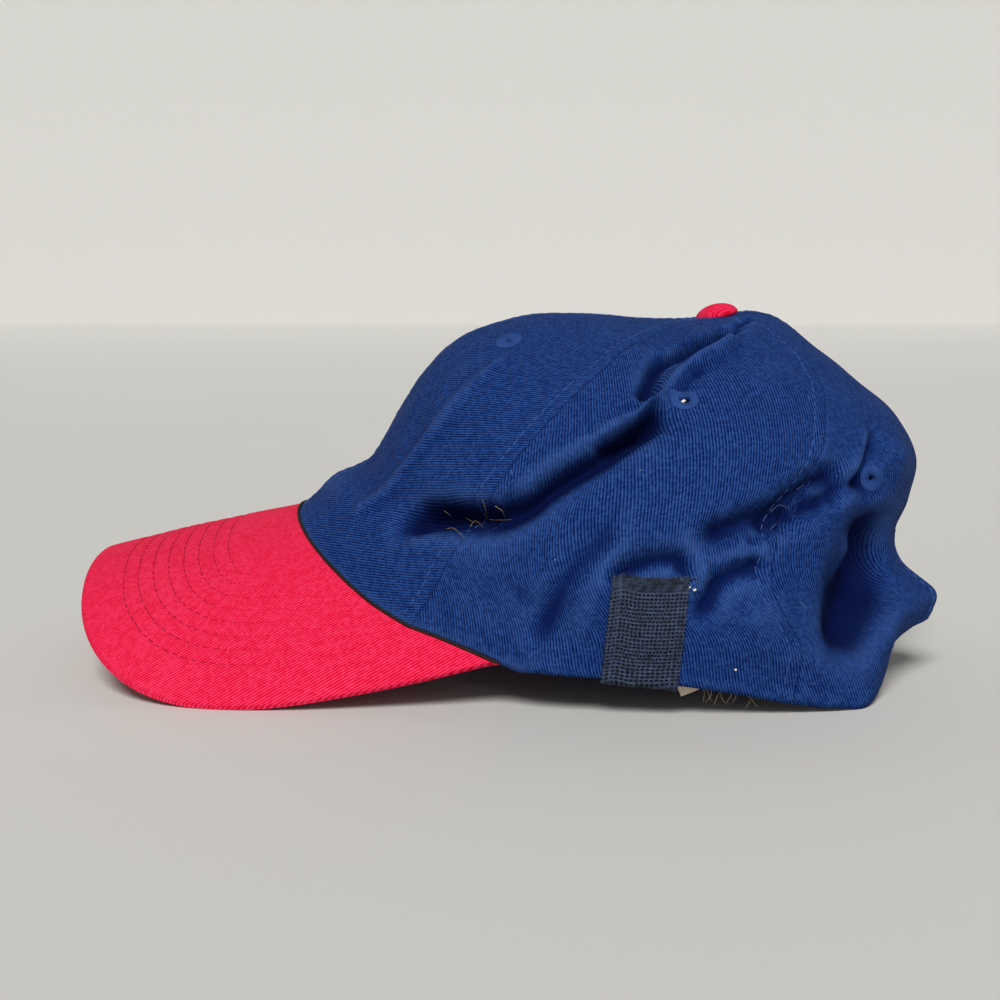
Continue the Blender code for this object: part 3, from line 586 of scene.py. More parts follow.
class Graph:
    """A material's node tree, built by expressions."""

    def __init__(self, name: str) -> None:
        """Makes an empty material with its Principled shader."""
        self.material = bpy.data.materials.new(name)
        self.material.use_nodes = True
        self.tree = self.material.node_tree
        self.shader = self.tree.nodes["Principled BSDF"]

    def node(self, kind: str, settings: dict[str, Any], inputs: dict[Any, Any], output: Any = 0) -> Wire:
        """Adds a node.

        Args:
            kind: Type of the node.
            settings: Its properties, set first.
            inputs: Value or wire of each socket, by number or name.
            output: Which output to return.

        Returns:
            The output.
        """
        made = self.tree.nodes.new(kind)
        for name, value in settings.items():
            setattr(made, name, value)
        for key, value in inputs.items():
            self._put(made.inputs[key], value)
        return Wire(self, made.outputs[output])

    def _put(self, socket: bpy.types.NodeSocket, value: Any) -> None:
        """Links a wire to a socket, or sets its value."""
        if isinstance(value, Wire):
            self.tree.links.new(value.socket, socket)
        elif isinstance(value, tuple) and socket.type == "RGBA":
            socket.default_value = (*value, 1.0)
        else:
            socket.default_value = value

    def math(self, operation: str, *values: Wire | float) -> Wire:
        """Adds a Math node."""
        return self.node("ShaderNodeMath", {"operation": operation}, dict(enumerate(values)))

    def mix(self, share: Wire | float, first: Any, second: Any) -> Wire:
        """Mixes two colours."""
        inputs = {0: share, 6: first, 7: second}
        return self.node("ShaderNodeMix", {"data_type": "RGBA"}, inputs, 2)

    def noise(self, where: Wire, scale: float, detail: float = 2.0) -> Wire:
        """Soft noise from 0 to 1, with its scale in patches a metre."""
        return self.node("ShaderNodeTexNoise", {}, {"Vector": where, "Scale": scale, "Detail": detail})

    def grain(self, x: Wire, y: Wire) -> Wire:
        """A random number for each pair of whole numbers."""
        pair = self.node("ShaderNodeCombineXYZ", {}, {0: x, 1: y, 2: 0.0})
        return self.node("ShaderNodeTexWhiteNoise", {"noise_dimensions": "2D"}, {"Vector": pair})

    def coordinate(self, place: Wire, axis: int) -> Wire:
        """One coordinate of a place."""
        return self.node("ShaderNodeSeparateXYZ", {}, {0: place}, axis)

    def cloth_place(self) -> tuple[Wire, Wire, Wire]:
        """The flat cloth's coordinates: the vector, then across and along in metres."""
        place = self.node("ShaderNodeUVMap", {"uv_map": "cloth"}, {})
        return place, self.coordinate(place, 0), self.coordinate(place, 1)

    def object_place(self) -> Wire:
        """The piece's own coordinates in metres."""
        return self.node("ShaderNodeTexCoord", {}, {}, "Object")

    def value(self, name: str) -> Wire:
        """A number that the piece's vertices hold."""
        return self.node("ShaderNodeAttribute", {"attribute_name": name}, {}, "Fac")

    def bump(self, height: Wire, distance: float) -> Wire:
        """Turns a height from 0 to 1 into a normal."""
        return self.node("ShaderNodeBump", {}, {"Height": height, "Distance": distance, "Strength": 1.0})

    def finish(self, **sockets: Any) -> Material:
        """Sets the shader's sockets, named with underscores for spaces.

        Args:
            sockets: Value or wire of each socket.

        Returns:
            The material.
        """
        for name, value in sockets.items():
            self._put(self.shader.inputs[name.replace("_", " ")], value)
        return self.material


@dataclass(frozen=True)
class Twill:
    """Diagonal cotton twill that follows the cloth's own coordinates.

    Attributes:
        name: Name of the material.
        deep: Colour between the ribs, and painted shade in places that lie below their neighbourhood.
        face: Colour on the ribs.
        worn: Colour where it is rubbed.
        shade: Painted shade colour that the cloth darkens to deep in its folds.
        lean: Angle of the ribs from the cloth's length, in degrees.
        pitch: Distance between ribs.
        relief: Height of the ribs.
        gloss: Strength of the reflections.
        wander: How far a rib strays sideways, in ribs.
        wander_scale: Patches a metre in which it strays.
        yarn_length: Length of one yarn on a rib, in ribs.
        stagger: How far each rib's yarns start past its neighbour's, in yarns.
        wear_scale: Rubbed patches a metre.
        fuzz_scale: Fibres a metre.
    """

    name: str
    deep: Colour
    face: Colour
    worn: Colour
    shade: Colour
    lean: float
    pitch: float = 0.80 * MM
    relief: float = 0.15 * MM
    gloss: float = 0.07
    wander: float = 0.7
    wander_scale: float = 110.0
    yarn_length: float = 1.1
    stagger: float = 0.37
    wear_scale: float = 26.0
    fuzz_scale: float = 2600.0

    def build(self) -> Material:
        """Makes the material."""
        g = Graph(self.name)
        place, across, along = g.cloth_place()
        turn = math.radians(self.lean)
        stray = (g.noise(place, self.wander_scale) - 0.5) * self.wander
        over = (across * math.cos(turn) + along * math.sin(turn)) / self.pitch + stray
        down = (along * math.cos(turn) - across * math.sin(turn)) / (self.pitch * self.yarn_length)
        rib_number = over.floor()
        step = down + rib_number * self.stagger
        rib = over.wave()
        yarn = g.grain(rib_number, step.floor())
        fuzz = g.noise(g.object_place(), self.fuzz_scale)
        height = rib * 0.66 + step.wave() * rib * 0.18 + yarn * 0.16
        light = (rib * 0.90 + yarn * 0.44 + (fuzz - 0.5) * 0.65 - 0.20).clamped()
        colour = g.mix(light, self.deep, self.face)
        ridge = g.value("ridge")
        patch = g.noise(place, self.wear_scale, 3.0)
        rubbed = (patch - 0.45) * 0.8 + (rib * yarn - 0.4) * 0.3 + ridge * 0.5
        colour = g.mix(rubbed.clamped() * 0.8, colour, self.worn)
        # Painted shade: places below their neighbourhood darken to the colour between the ribs
        colour = g.mix((ridge * -0.9).clamped(), colour, self.deep)
        # Painted shade: deep in the folds the colour darkens to the shade colour
        colour = g.mix(g.value("hollow") * 0.88, colour, self.shade)
        return g.finish(
            Base_Color=colour,
            Roughness=0.88 - rib * 0.08,
            Normal=g.bump(height + fuzz * 0.12, self.relief),
            Specular_IOR_Level=self.gloss,
        )


@dataclass(frozen=True)
class TwoTone:
    """A finish between two colours.

    Attributes:
        name: Name of the material.
        dark: Colour of its hollows or of its plain ground; in the elastic's gaps it is painted shade.
        light: Colour of what stands out or is worn.
        fine: Fibres, yarns or grains a metre.
        patches: Paler patches a metre.
        relief: Height of the fibres, yarns or grains.
    """

    name: str
    dark: Colour
    light: Colour
    fine: float = 3200.0
    patches: float = 240.0
    relief: float = 0.10 * MM


@dataclass(frozen=True)
class Thread(TwoTone):
    """Sewing thread, mottled by its fine twist.

    Attributes:
        behind: The thread's own colour, if any; towards the visor's front its dark and light colours
            are painted shade of the furrows.
        fade: Y where the painted shade starts to fade and where it is gone.
    """

    behind: Colour | None = None
    fade: tuple[float, float] = (-98 * MM, -56 * MM)

    def build(self) -> Material:
        """Makes the material."""
        g = Graph(self.name)
        place = g.object_place()
        twist = g.noise(place, self.fine)
        patch = g.noise(place, self.patches)
        colour = g.mix((twist * 0.9 + patch * 0.5 - 0.2).clamped(), self.dark, self.light)
        if self.behind is not None:
            # Painted shade of the visor's furrows: in front the thread keeps its dark colours, behind it
            # turns to its own colour
            colour = g.mix(g.coordinate(place, 1).between(*self.fade), colour, self.behind)
        return g.finish(
            Base_Color=colour,
            Roughness=twist * 0.15 + 0.65,
            Normal=g.bump(twist, self.relief),
            Specular_IOR_Level=0.15,
        )


@dataclass(frozen=True)
class Elastic(TwoTone):
    """Woven elastic, darker in the gaps of the weave that its vertices hold."""

    def build(self) -> Material:
        """Makes the material."""
        g = Graph(self.name)
        place = g.object_place()
        fuzz = g.noise(place, self.fine, 3.0)
        spots = g.noise(place, self.patches, 1.0)
        # Painted shade: the weave's gaps darken towards the dark colour; the dimmer yarns are real variation
        lit = (g.value("weave") + (fuzz - 0.5) * 0.9 + (spots - 0.5) * 0.5 - 0.12).clamped()
        return g.finish(
            Base_Color=g.mix(lit, self.dark, self.light),
            Roughness=0.78,
            Normal=g.bump(fuzz, self.relief),
            Specular_IOR_Level=0.25,
        )


@dataclass(frozen=True)
class Tape(TwoTone):
    """Plain thin woven tape."""

    def build(self) -> Material:
        """Makes the material."""
        g = Graph(self.name)
        _, across, along = g.cloth_place()
        wave = FULL_TURN * self.fine
        weave = (across * wave).sine() * (along * wave).sine() * 0.5 + 0.5
        spots = g.noise(g.object_place(), self.patches, 3.0)
        colour = g.mix((weave * 0.5 + spots * 0.6 - 0.05).clamped(), self.dark, self.light)
        return g.finish(Base_Color=colour, Roughness=0.8, Normal=g.bump(weave, self.relief))


@dataclass(frozen=True)
class Moulded(TwoTone):
    """Plain moulded plastic with a fine matte texture and slight pale scuffs."""

    def build(self) -> Material:
        """Makes the material."""
        g = Graph(self.name)
        place = g.object_place()
        grain = g.noise(place, self.fine)
        scuff = g.noise(place, self.patches, 4.0).between(0.52, 0.8)
        return g.finish(
            Base_Color=g.mix(scuff * 0.5, self.dark, self.light),
            Roughness=0.42 + scuff * 0.2 + grain * 0.08,
            Normal=g.bump(grain, self.relief),
        )


# The crown's form


# Sizes that the tables' values are shares of
CROWN_LENGTH = 0.195
CROWN_HEIGHT = 0.105
CROWN_HALF_WIDTH = 0.085
# Side seams: column of the rings' table and panel angle
SEAMS = {"seam_1": 60, "seam_2": 120}
PANEL_WIDTH = 60.0
# Steps of panel angle and share between which a surface's directions are read
ANGLE_STEP = 0.25
SHARE_STEP = 0.004
# A fold's path: its points, how far its ends run out and start early, and reach of its slide
FOLD_POINTS = 48
FOLD_END = 1.6
FOLD_OVERHANG = 0.3
SLIDE_REACH = 1.1
# Points that a fold moves at a time, which keeps the memory small
FOLD_BLOCK = 8000
# Distances of the stitch rows from a seam and from the hem
SEAM_ROW = 3.7 * MM
HEM_ROW = 4.0 * MM
# Panel angle that the hem's row leaves free at a seam and at the rear opening
HEM_END = 0.35
REAR_HEM_END = 2.95


class Side(Enum):
    """The wearer's left or right."""

    LEFT = 1.0
    RIGHT = -1.0


@dataclass(frozen=True)
class VisorForm:
    """The visor's flat outline and the curve it is bent to.

    Attributes:
        bend: Radius that it is bent to.
        thick: Thickness.
        half: Half width at its widest.
        reach: Length from there to the front.
        square: Squareness of the outline.
        widest: Y of the widest place.
        crest: Height at the crown's front.
        slope: Fall towards the front.
        droop: Extra fall.
        taper: How the sides come in behind.
        rear: Y of the rear ends.
        seam_front: Y of the crown's front.
        end_angle: Panel angle where it ends.
    """

    bend: float = 1.094 * CROWN_HALF_WIDTH
    thick: float = 0.0030
    half: float = 1.119 * CROWN_HALF_WIDTH
    reach: float = 0.0866
    square: float = 2.82
    widest: float = -0.210 * CROWN_LENGTH
    crest: float = 0.4324 * CROWN_HEIGHT
    slope: float = 0.185
    droop: float = 0.052 / 0.0866
    taper: float = 0.1217 / (1.119 * CROWN_HALF_WIDTH)
    rear: float = -0.009 * CROWN_LENGTH
    seam_front: float = -0.323 * CROWN_LENGTH
    end_angle: float = 74.0

    def top(self, x: Array, y: Array) -> Array:
        """Height of the bent top surface."""
        ahead = self.seam_front - y
        crest = self.crest - self.slope * ahead - self.droop * np.maximum(ahead, 0) ** 2
        x = np.clip(x, -self.bend, self.bend)
        return crest - self.bend + np.sqrt(self.bend**2 - x**2)

    def normal(self, x: Array, y: Array) -> Array:
        """Upward direction of the bent top surface."""
        across = np.clip(x / self.bend, -0.999, 0.999)
        rise = np.sqrt(1 - across**2)
        slope = self.slope + 2 * self.droop * np.maximum(self.seam_front - y, 0)
        return unit(np.stack([across, -slope * rise, rise], -1))

    def bent(self, flat: Array, lift: Array | float) -> Array:
        """Points of the flat outline bent, some height above the top surface."""
        x = self.bend * np.sin(flat[..., 0] / self.bend)
        y = flat[..., 1]
        points = np.stack([x, y, self.top(x, y)], -1)
        return points + self.normal(x, y) * np.asarray(lift)[..., None]

    def rim(self, count: int) -> Array:
        """The free edge, right to left, in the flat shape."""
        around = np.linspace(0, math.pi / 2, 400)
        across = self.half * np.cos(around) ** (2 / self.square)
        forward = self.widest - self.reach * np.sin(around) ** (2 / self.square)
        rear = np.linspace(self.rear, self.widest, 40)[:-1]
        tapered = self.half - self.taper * (rear - self.widest) ** 2
        half = np.concatenate([np.stack([tapered, rear], -1), np.stack([across, forward], -1)])
        return even_steps(np.concatenate([half * [-1, 1], half[-2::-1]]), count)


@dataclass
class CrownForm:
    """The crown's folded outer surface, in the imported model's frame.

    Attributes:
        visor: The visor that its front stands on.
        length: Size that the tables' Y values are shares of.
        height: Size that their Z values are shares of.
        half_width: Size that their X values are shares of.
        fold_unit: Size that the folds' depth and reach are multiples of.
        hem_fade: Share of the height over which the hem line's shape fades out.
        skirt: Share of the height that goes down behind the visor.
        cloth: Thickness of the wall.
        leaving: Panel angle in which the hem leaves the visor.
        own_hem: Panel angles between which the hem's own table takes over.
        still: Panel angle beside the front and back seams in which the folds fade out.
        move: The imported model's place against the tables' X and Y.
    """

    visor: VisorForm
    length: float = CROWN_LENGTH
    height: float = CROWN_HEIGHT
    half_width: float = CROWN_HALF_WIDTH
    fold_unit: float = 0.010
    hem_fade: float = 0.34
    skirt: float = 0.02
    cloth: float = 0.0015
    leaving: float = 6.5
    own_hem: tuple[float, float] = (52.0, 60.0)
    still: float = 8.0
    move: Array = field(default_factory=lambda: np.zeros(3))

    def plain(self, angle: Array, share: Array) -> Array:
        """The left half before its hem line and folds are shaped."""
        knots = column(RINGS, RING_COLUMNS, "share")
        c = {n: through(share, knots, column(RINGS, RING_COLUMNS, n)) for n in RING_COLUMNS[1:]}
        turn = angle
        for name, seam in SEAMS.items():
            turn = turn + (c[name] - seam) * self._near_seam(angle, seam)
        across, along = np.sin(np.radians(turn)), np.cos(np.radians(turn))
        front = along > 0
        power = 2 / np.where(front, c["square_front"], c["square_back"])
        middle = (c["front_y"] + c["back_y"]) / 2
        reach = (c["back_y"] - c["front_y"]) / 2
        end_z = np.where(front, c["front_z"], c["back_z"])
        x = c["half_width"] * np.abs(across) ** power * self.half_width
        y = (middle - reach * np.sign(along) * np.abs(along) ** power) * self.length
        z = (c["side_z"] + (end_z - c["side_z"]) * along**2) * self.height
        return np.stack([x, y, z], -1)

    @staticmethod
    def _near_seam(angle: Array, seam: float) -> Array:
        """1 at a side seam, falling to 0 at its neighbours."""
        return (1 - np.clip(np.abs(angle - seam) / PANEL_WIDTH, 0, 1) ** 2) ** 2

    def on_visor(self, angle: Array) -> Array:
        """1 where the crown stands on the visor, 0 behind it."""
        return 1 - ease(self.visor.end_angle, self.visor.end_angle + self.leaving, angle)

    def hem(self, angle: Array) -> Array:
        """The hem from the front seam to the rear, on the visor's top in front."""
        knots = column(HEM, HEM_COLUMNS, "angle")
        sizes = (self.half_width, self.length, self.height)
        table = [through(angle, knots, column(HEM, HEM_COLUMNS, n)) * s for n, s in zip("xyz", sizes)]
        behind = ease(*self.own_hem, angle)[..., None]
        hem = self.plain(angle, np.zeros_like(angle)) * (1 - behind) + np.stack(table, -1) * behind
        hem[..., 2] += (self.visor.top(hem[..., 0], hem[..., 1]) - hem[..., 2]) * self.on_visor(angle)
        return hem

    def section(self, angle: Array, share: Array) -> Array:
        """The left half with its hem line, before the folds."""
        on_visor = self.on_visor(angle)
        cut = self.skirt * on_visor
        above = np.clip((share - cut) / (1 - cut), 0, 1)
        points = self.plain(angle, above)
        change = self.hem(angle) - self.plain(angle, np.zeros_like(angle))
        points = points + change * (np.clip(1 - above / self.hem_fade, 0, 1) ** 2)[..., None]
        down = self.visor.thick * on_visor * np.clip(1 - share / self.skirt, 0, 1)
        return points - self.visor.normal(points[..., 0], points[..., 1]) * down[..., None]

    def _whole(self, angle: Array, share: Array) -> Array:
        """The section on both sides of the front and back seams, by mirroring."""
        points = self.section(180 - np.abs(180 - np.abs(angle)), share)
        points[..., 0] *= np.where((angle < 0) | (angle > 180), -1, 1)
        return points

    def _outward(self, angle: Array, share: Array) -> Array:
        """Outward direction of the unfolded crown."""
        share = np.clip(share, self.skirt + SHARE_STEP, 1 - 2 * SHARE_STEP)
        around = self._whole(angle + ANGLE_STEP, share) - self._whole(angle - ANGLE_STEP, share)
        up = self._whole(angle, share + SHARE_STEP) - self._whole(angle, share - SHARE_STEP)
        return unit(np.cross(around, up))

    def _fold(self, row: tuple[Any, ...], points: Array, normals: Array, side: Side) -> Array:
        """How far one fold moves each point.

        Args:
            row: The fold's row of the table.
            points: Points of the unfolded crown.
            normals: Its outward directions there.
            side: The wearer's left or right.

        Returns:
            The move of each point.
        """
        f = dict(zip(FOLD_COLUMNS, row))
        reach = f["reach"] * self.fold_unit
        depth = f["depth"] * self.fold_unit * (f["right"] if side is Side.RIGHT else 1.0)
        stops = np.array(f["path"])
        knots, fine = np.linspace(0, 1, len(stops)), np.linspace(0, 1, FOLD_POINTS)
        path = self.section(through(fine, knots, stops[:, 0]), through(fine, knots, stops[:, 1]))
        along = unit(np.gradient(path, axis=0))
        length = lengths_along(path)
        apart = ((points[:, None] - path[None]) ** 2).sum(-1)
        near = apart.argmin(1)
        offset = points - path[near]
        ahead = (offset * along[near]).sum(1)
        sideways = unit(np.cross(normals, along[near]))
        distance = np.sqrt(np.maximum(apart.min(1) - ahead**2, 0)) / reach
        place = length[near] + ahead
        soft = FOLD_END * reach * f["soft"]
        early = -FOLD_OVERHANG * soft
        strength = ease(early, soft, place) * ease(early, soft, length[-1] - place)
        push = depth * strength * hump(distance, 0.0, 1.0)
        slide = f["slide"] * depth * strength * hump(distance, 0.0, SLIDE_REACH)
        return push[:, None] * normals + slide[:, None] * sideways

    def outer(self, angle: Array, share: Array, side: Side) -> Array:
        """The folded outer surface."""
        return self.folded(angle, share, side)[0]

    def at(self, angle: float, share: float, side: Side) -> Array:
        """One point of the folded outer surface."""
        return self.outer(np.array([angle]), np.array([share]), side)[0]

    def folded(self, angle: Array, share: Array, side: Side) -> tuple[Array, Array]:
        """The folded outer surface, and how far the folds push each point out."""
        angle, share = np.broadcast_arrays(np.asarray(angle, float), np.asarray(share, float))
        points = self.section(angle, share)
        normals = self._outward(angle, share).reshape(-1, 3)
        flat = points.reshape(-1, 3)
        shift = np.zeros_like(flat)
        for first in range(0, len(flat), FOLD_BLOCK):
            part = slice(first, first + FOLD_BLOCK)
            for row in FOLDS + CREASES:
                shift[part] += self._fold(row, flat[part], normals[part], side)
        hold = ease(0, self.still, angle) * (1 - ease(180 - self.still, 180, angle))
        hold = hold * (1 - self.on_visor(angle) * (1 - ease(self.skirt, 3 * self.skirt, share)))
        points = points + shift.reshape(points.shape) * hold[..., None]
        points[..., 0] *= side.value
        push = (shift * normals).sum(-1).reshape(share.shape) * hold
        return points + self.move, push


@dataclass(frozen=True)
class ClothRelief:
    """Heights of what stands out from or dips into the folded cloth.

    Attributes:
        slack: Height of the soft ripples.
        groove: Depth of a seam.
        allowance: Height of the cloth that is turned back beside a seam.
        row: Depth of a stitch row.
        gathers: Height of the gathers along a seam.
        hem: Height of the turned-up hem.
        hem_gathers: Height of the gathers along the hem.
    """

    slack: float = 0.22 * MM
    groove: float = 0.26 * MM
    allowance: float = 0.07 * MM
    row: float = 0.09 * MM
    gathers: float = 0.09 * MM
    hem: float = 0.12 * MM
    hem_gathers: float = 0.10 * MM


@dataclass
class CrownPanel:
    """One panel of the crown, from its hem to the button.

    Attributes:
        form: The crown's form.
        side: The wearer's left or right.
        name: Front, side or back.
        low: Panel angle of its first seam.
        high: Panel angle of its last seam.
        columns: Cells across it, between the dense bands along its seams.
        step: Distance between its rows.
        top: Share of the height where it ends under the button.
        arch_top: Share of the height of the rear opening.
        arch_half: Half width of the rear opening, as a panel angle.
        band: Distances of the dense columns from a seam, in millimetres.
        close: Distances of the dense rows from the hem, in millimetres.
        heights: Heights of its relief.
        slack: Soft ripples all over.
        pucker: Gathers along seams and hem.
        crumple: Wrinkles of the crumpled places.
        lip: Prominence of a fully rubbed place; a place as far below its neighbourhood gets nearly full
            painted shade.
        hollow: Fold depths at which the painted shade in the cloth's colour starts and is full.
    """

    form: CrownForm
    side: Side
    name: str
    low: float
    high: float
    columns: int
    step: float
    top: float = 0.978
    arch_top: float = 0.36
    arch_half: float = 19.0
    band: tuple[float, ...] = (0.02, 0.25, 0.5, 0.8, 1.2, 1.8, 2.5, 3.0, 3.35, 3.7, 4.05, 4.4, 5.0, 6.0)
    close: tuple[float, ...] = (0.0, 0.4, 0.9, 1.6, 2.4, 3.1, 3.6, 4.0, 4.4, 4.9, 5.6)
    heights: ClothRelief = ClothRelief()
    slack: Ripples = Ripples(7, 9, 0.012, 0.030)
    pucker: Ripples = Ripples(11, 6, 0.004, 0.008)
    crumple: Ripples = Ripples(31, 7, 0.0040, 0.0110)
    lip: float = 0.45 * MM
    hollow: tuple[float, float] = (0.8 * MM, 7.0 * MM)

    def last_angle(self, share: Array) -> Array:
        """Panel angle of the panel's last edge, which leaves the rear opening free."""
        if self.name != "back":
            return np.full_like(share, self.high)
        opening = np.sqrt(np.clip(1 - (share / self.arch_top) ** 2, 0, 1))
        return self.high - self.arch_half * opening

    def shares(self) -> Array:
        """Shares of the height that the rows take."""
        form = self.form
        middle = np.full(400, (self.low + self.high) / 2)
        share = np.linspace(form.skirt, self.top, 400)
        length = lengths_along(form.section(middle, share))
        close = np.array(self.close) * MM
        rest = np.arange(close[-1] + self.step, length[-1] - 0.4 * self.step, self.step)
        rows = np.interp(np.concatenate([close, rest, length[-1:]]), length, share)
        rows = np.concatenate([[0.0, 0.5 * form.skirt], rows])
        if self.name == "back":
            arch = self.arch_top * np.array([0.97, 0.985, 0.994, 0.999, 1.0])
            clear = [s for s in rows if np.abs(arch - s).min() > 0.0025]
            rows = np.sort(np.concatenate([clear, arch]))
        return rows

    def across(self, share: Array) -> tuple[Array, Array]:
        """Panel angles from edge to edge in some rows, and the distances to them.

        Args:
            share: The rows' shares of the height.

        Returns:
            Angles and distances from the first edge, with a column for each row.
        """
        fine = np.linspace(0, 1, 161)[:, None]
        angle = self.low + (self.last_angle(share)[None] - self.low) * fine
        line = self.form.section(angle, np.broadcast_to(share, angle.shape))
        return angle, lengths_along(line)

    def angles(self, share: Array) -> tuple[Array, Array, Array]:
        """Panel angle of each grid point, with its distances from the two edges.

        Args:
            share: The rows' shares of the height.

        Returns:
            Angles, distances from the first edge, distances from the last one.
        """
        angle, length = self.across(share)
        width = length[-1]
        band = np.array(self.band) * MM
        scale = np.minimum(1.0, 0.40 * width / band[-1])
        near = band[:, None] * scale[None]
        middle = np.linspace(0, 1, self.columns + 1)[1:-1, None]
        between = near[-1] + (width - 2 * near[-1]) * middle
        where = np.concatenate([near, between, width - near[::-1]])
        found = np.stack([np.interp(where[:, j], length[:, j], angle[:, j]) for j in range(len(share))], 1)
        return found, where, width - where

    def relief(self, points: Array, first: Array, last: Array, above: Array, share: Array) -> Array:
        """Height of seams, hem and slack above the folded surface.

        Args:
            points: Points of the surface.
            first: Distance from the first edge.
            last: Distance from the last edge.
            above: Distance above the hem.
            share: Share of the height.

        Returns:
            The height of each point.
        """
        high = self.heights
        puckers = self.pucker.at(points)
        crowded = ease(6 * MM, 30 * MM, first + last)
        height = high.slack * self.slack.at(points) * ease(0, 10 * MM, above) * crowded
        for edge, open_edge in ((first, False), (last, self.name == "back")):
            sewn = ease(self.arch_top, self.arch_top * 1.02, share) if open_edge else 1.0
            turned = high.allowance * ease(0.15 * MM, 1.1 * MM, edge) * (1 - ease(3.3 * MM, 5.2 * MM, edge))
            groove = high.groove * hump(edge, 0.0, 0.30 * MM) * sewn
            row = high.row * hump(edge, SEAM_ROW, 0.45 * MM)
            gathers = high.gathers * puckers * hump(edge, 3.0 * MM, 3.2 * MM)
            height = height + (turned + gathers - groove - row) * (0.25 + 0.75 * crowded)
        hem = high.hem * (1 - ease(3.6 * MM, 5.4 * MM, above)) * ease(0, 0.8 * MM, above)
        row = high.row * hump(above, HEM_ROW, 0.5 * MM)
        gathers = high.hem_gathers * puckers * hump(above, 3.0 * MM, 3.0 * MM)
        return height + self.crumpled(points) + hem + gathers - row

    def crumpled(self, points: Array) -> Array:
        """Height of the small sharp wrinkles at the left side's crumpled places."""
        total = np.zeros(points.shape[:-1])
        if self.side is Side.RIGHT:
            return total
        sharp = 1 - 1.6 * np.abs(self.crumple.at(points))
        for angle, share, radius, height in CRUMPLES:
            away = np.linalg.norm(points - self.form.at(angle, share, self.side), axis=-1)
            total += height * MM * sharp * hump(away, 0.0, radius * MM)
        return total

    def build(self, hole: Array, hole_radius: float, finish: Material) -> Piece:
        """Makes the panel with a hole for its eyelet.

        Args:
            hole: Centre of the eyelet.
            hole_radius: Radius of the hole.
            finish: The cloth's material.

        Returns:
            The panel.
        """
        form = self.form
        share = self.shares()
        angle, first, last = self.angles(share)
        share_grid = np.broadcast_to(share, angle.shape)
        above = lengths_along(form.section(angle, share_grid).transpose(1, 0, 2)).T
        seat = np.searchsorted(share, form.skirt)
        above = above - above[:, seat : seat + 1] * form.on_visor(angle[:, :1])
        surface, push = form.folded(angle, share_grid, self.side)
        normals = grid_normals(surface) * self.side.value
        lift = self.relief(surface, first, last, np.maximum(above, 0), share_grid)
        outer = surface + normals * lift[..., None]
        inner = surface - normals * form.cloth
        for grid in (outer, inner):
            grid[..., 2] = np.maximum(grid[..., 2], 0.0)
        middle = (outer[:-1, :-1] + outer[1:, 1:]) / 2
        inside = np.linalg.norm(middle - hole, axis=-1) < hole_radius
        faces = shell_faces(*outer.shape[:2], {(int(i), int(j)) for i, j in zip(*np.nonzero(inside))})
        if self.side is Side.RIGHT:
            faces = [face[::-1] for face in faces]
        place = f"{self.name}_{self.side.name.lower()}"
        piece = mesh_object(f"cloth_{place}", (both_walls(outer, inner), faces))
        flat = np.stack([(first - last) / 2 * self.side.value, above], -1)
        add_cloth_map(piece, both_walls(flat, flat))
        # Prominence: the cloth reads it as wear on ridges and as painted shade in recesses
        ridge = np.clip(prominence(outer, normals) / self.lip, -1, 1)[..., None]
        # Painted shade: how deep each point lies in the folds, which the cloth's colour is darkened by
        hollow = ease(*self.hollow, -push)[..., None]
        for name, values in (("ridge", ridge), ("hollow", hollow)):
            add_values(piece, name, both_walls(values, 0 * values))
        with editing(piece):
            bpy.ops.mesh.delete_loose()
        dress(piece, finish, f"crown_{place}")
        return piece

    def seam_line(self, at_last: bool) -> Array:
        """Line of the stitch row beside the first or the last seam, from the hem up."""
        share = np.linspace(self.form.skirt * 1.1, self.top - 0.004, 420)
        angle, length = self.across(share)
        inset = np.minimum(SEAM_ROW, 0.30 * length[-1])
        where = length[-1] - inset if at_last else inset
        found = np.array([np.interp(where[j], length[:, j], angle[:, j]) for j in range(len(share))])
        return self.form.outer(found, share, self.side)

    def hem_line(self) -> Array:
        """Line of the stitch row above the hem, which stops short of both edges."""
        share = np.linspace(self.form.skirt, 0.10, 60)
        edge = self.last_angle(np.array([0.03]))[0]
        last = edge - (REAR_HEM_END if self.name == "back" else HEM_END)
        angle = np.linspace(self.low + HEM_END, last, 300)
        line = self.form.section(*np.broadcast_arrays(angle[:, None], share[None]))
        length = lengths_along(line.transpose(1, 0, 2))
        found = np.array([np.interp(HEM_ROW, length[:, k], share) for k in range(len(angle))])
        return self.form.outer(angle, found, self.side)


# Stitches and threads


@dataclass
class ManyParts:
    """Many small parts that make one piece.

    Attributes:
        name: Name of the piece.
        finish: Its material.
        slot: Slot that it belongs to; not used.
        parts: Vertices and faces of each part.
    """

    name: str
    finish: Material
    slot: str
    parts: list[Part] = field(default_factory=list)

    def build(self) -> Piece:
        """Makes one piece of all the parts."""
        piece = mesh_object(self.name, join_parts(self.parts))
        dress(piece, self.finish)
        return piece


# A stitch lies along X from -0.5 to 0.5 and bends at these places
STITCH_STATIONS = np.array([-0.5, -0.34, 0.0, 0.34, 0.5])


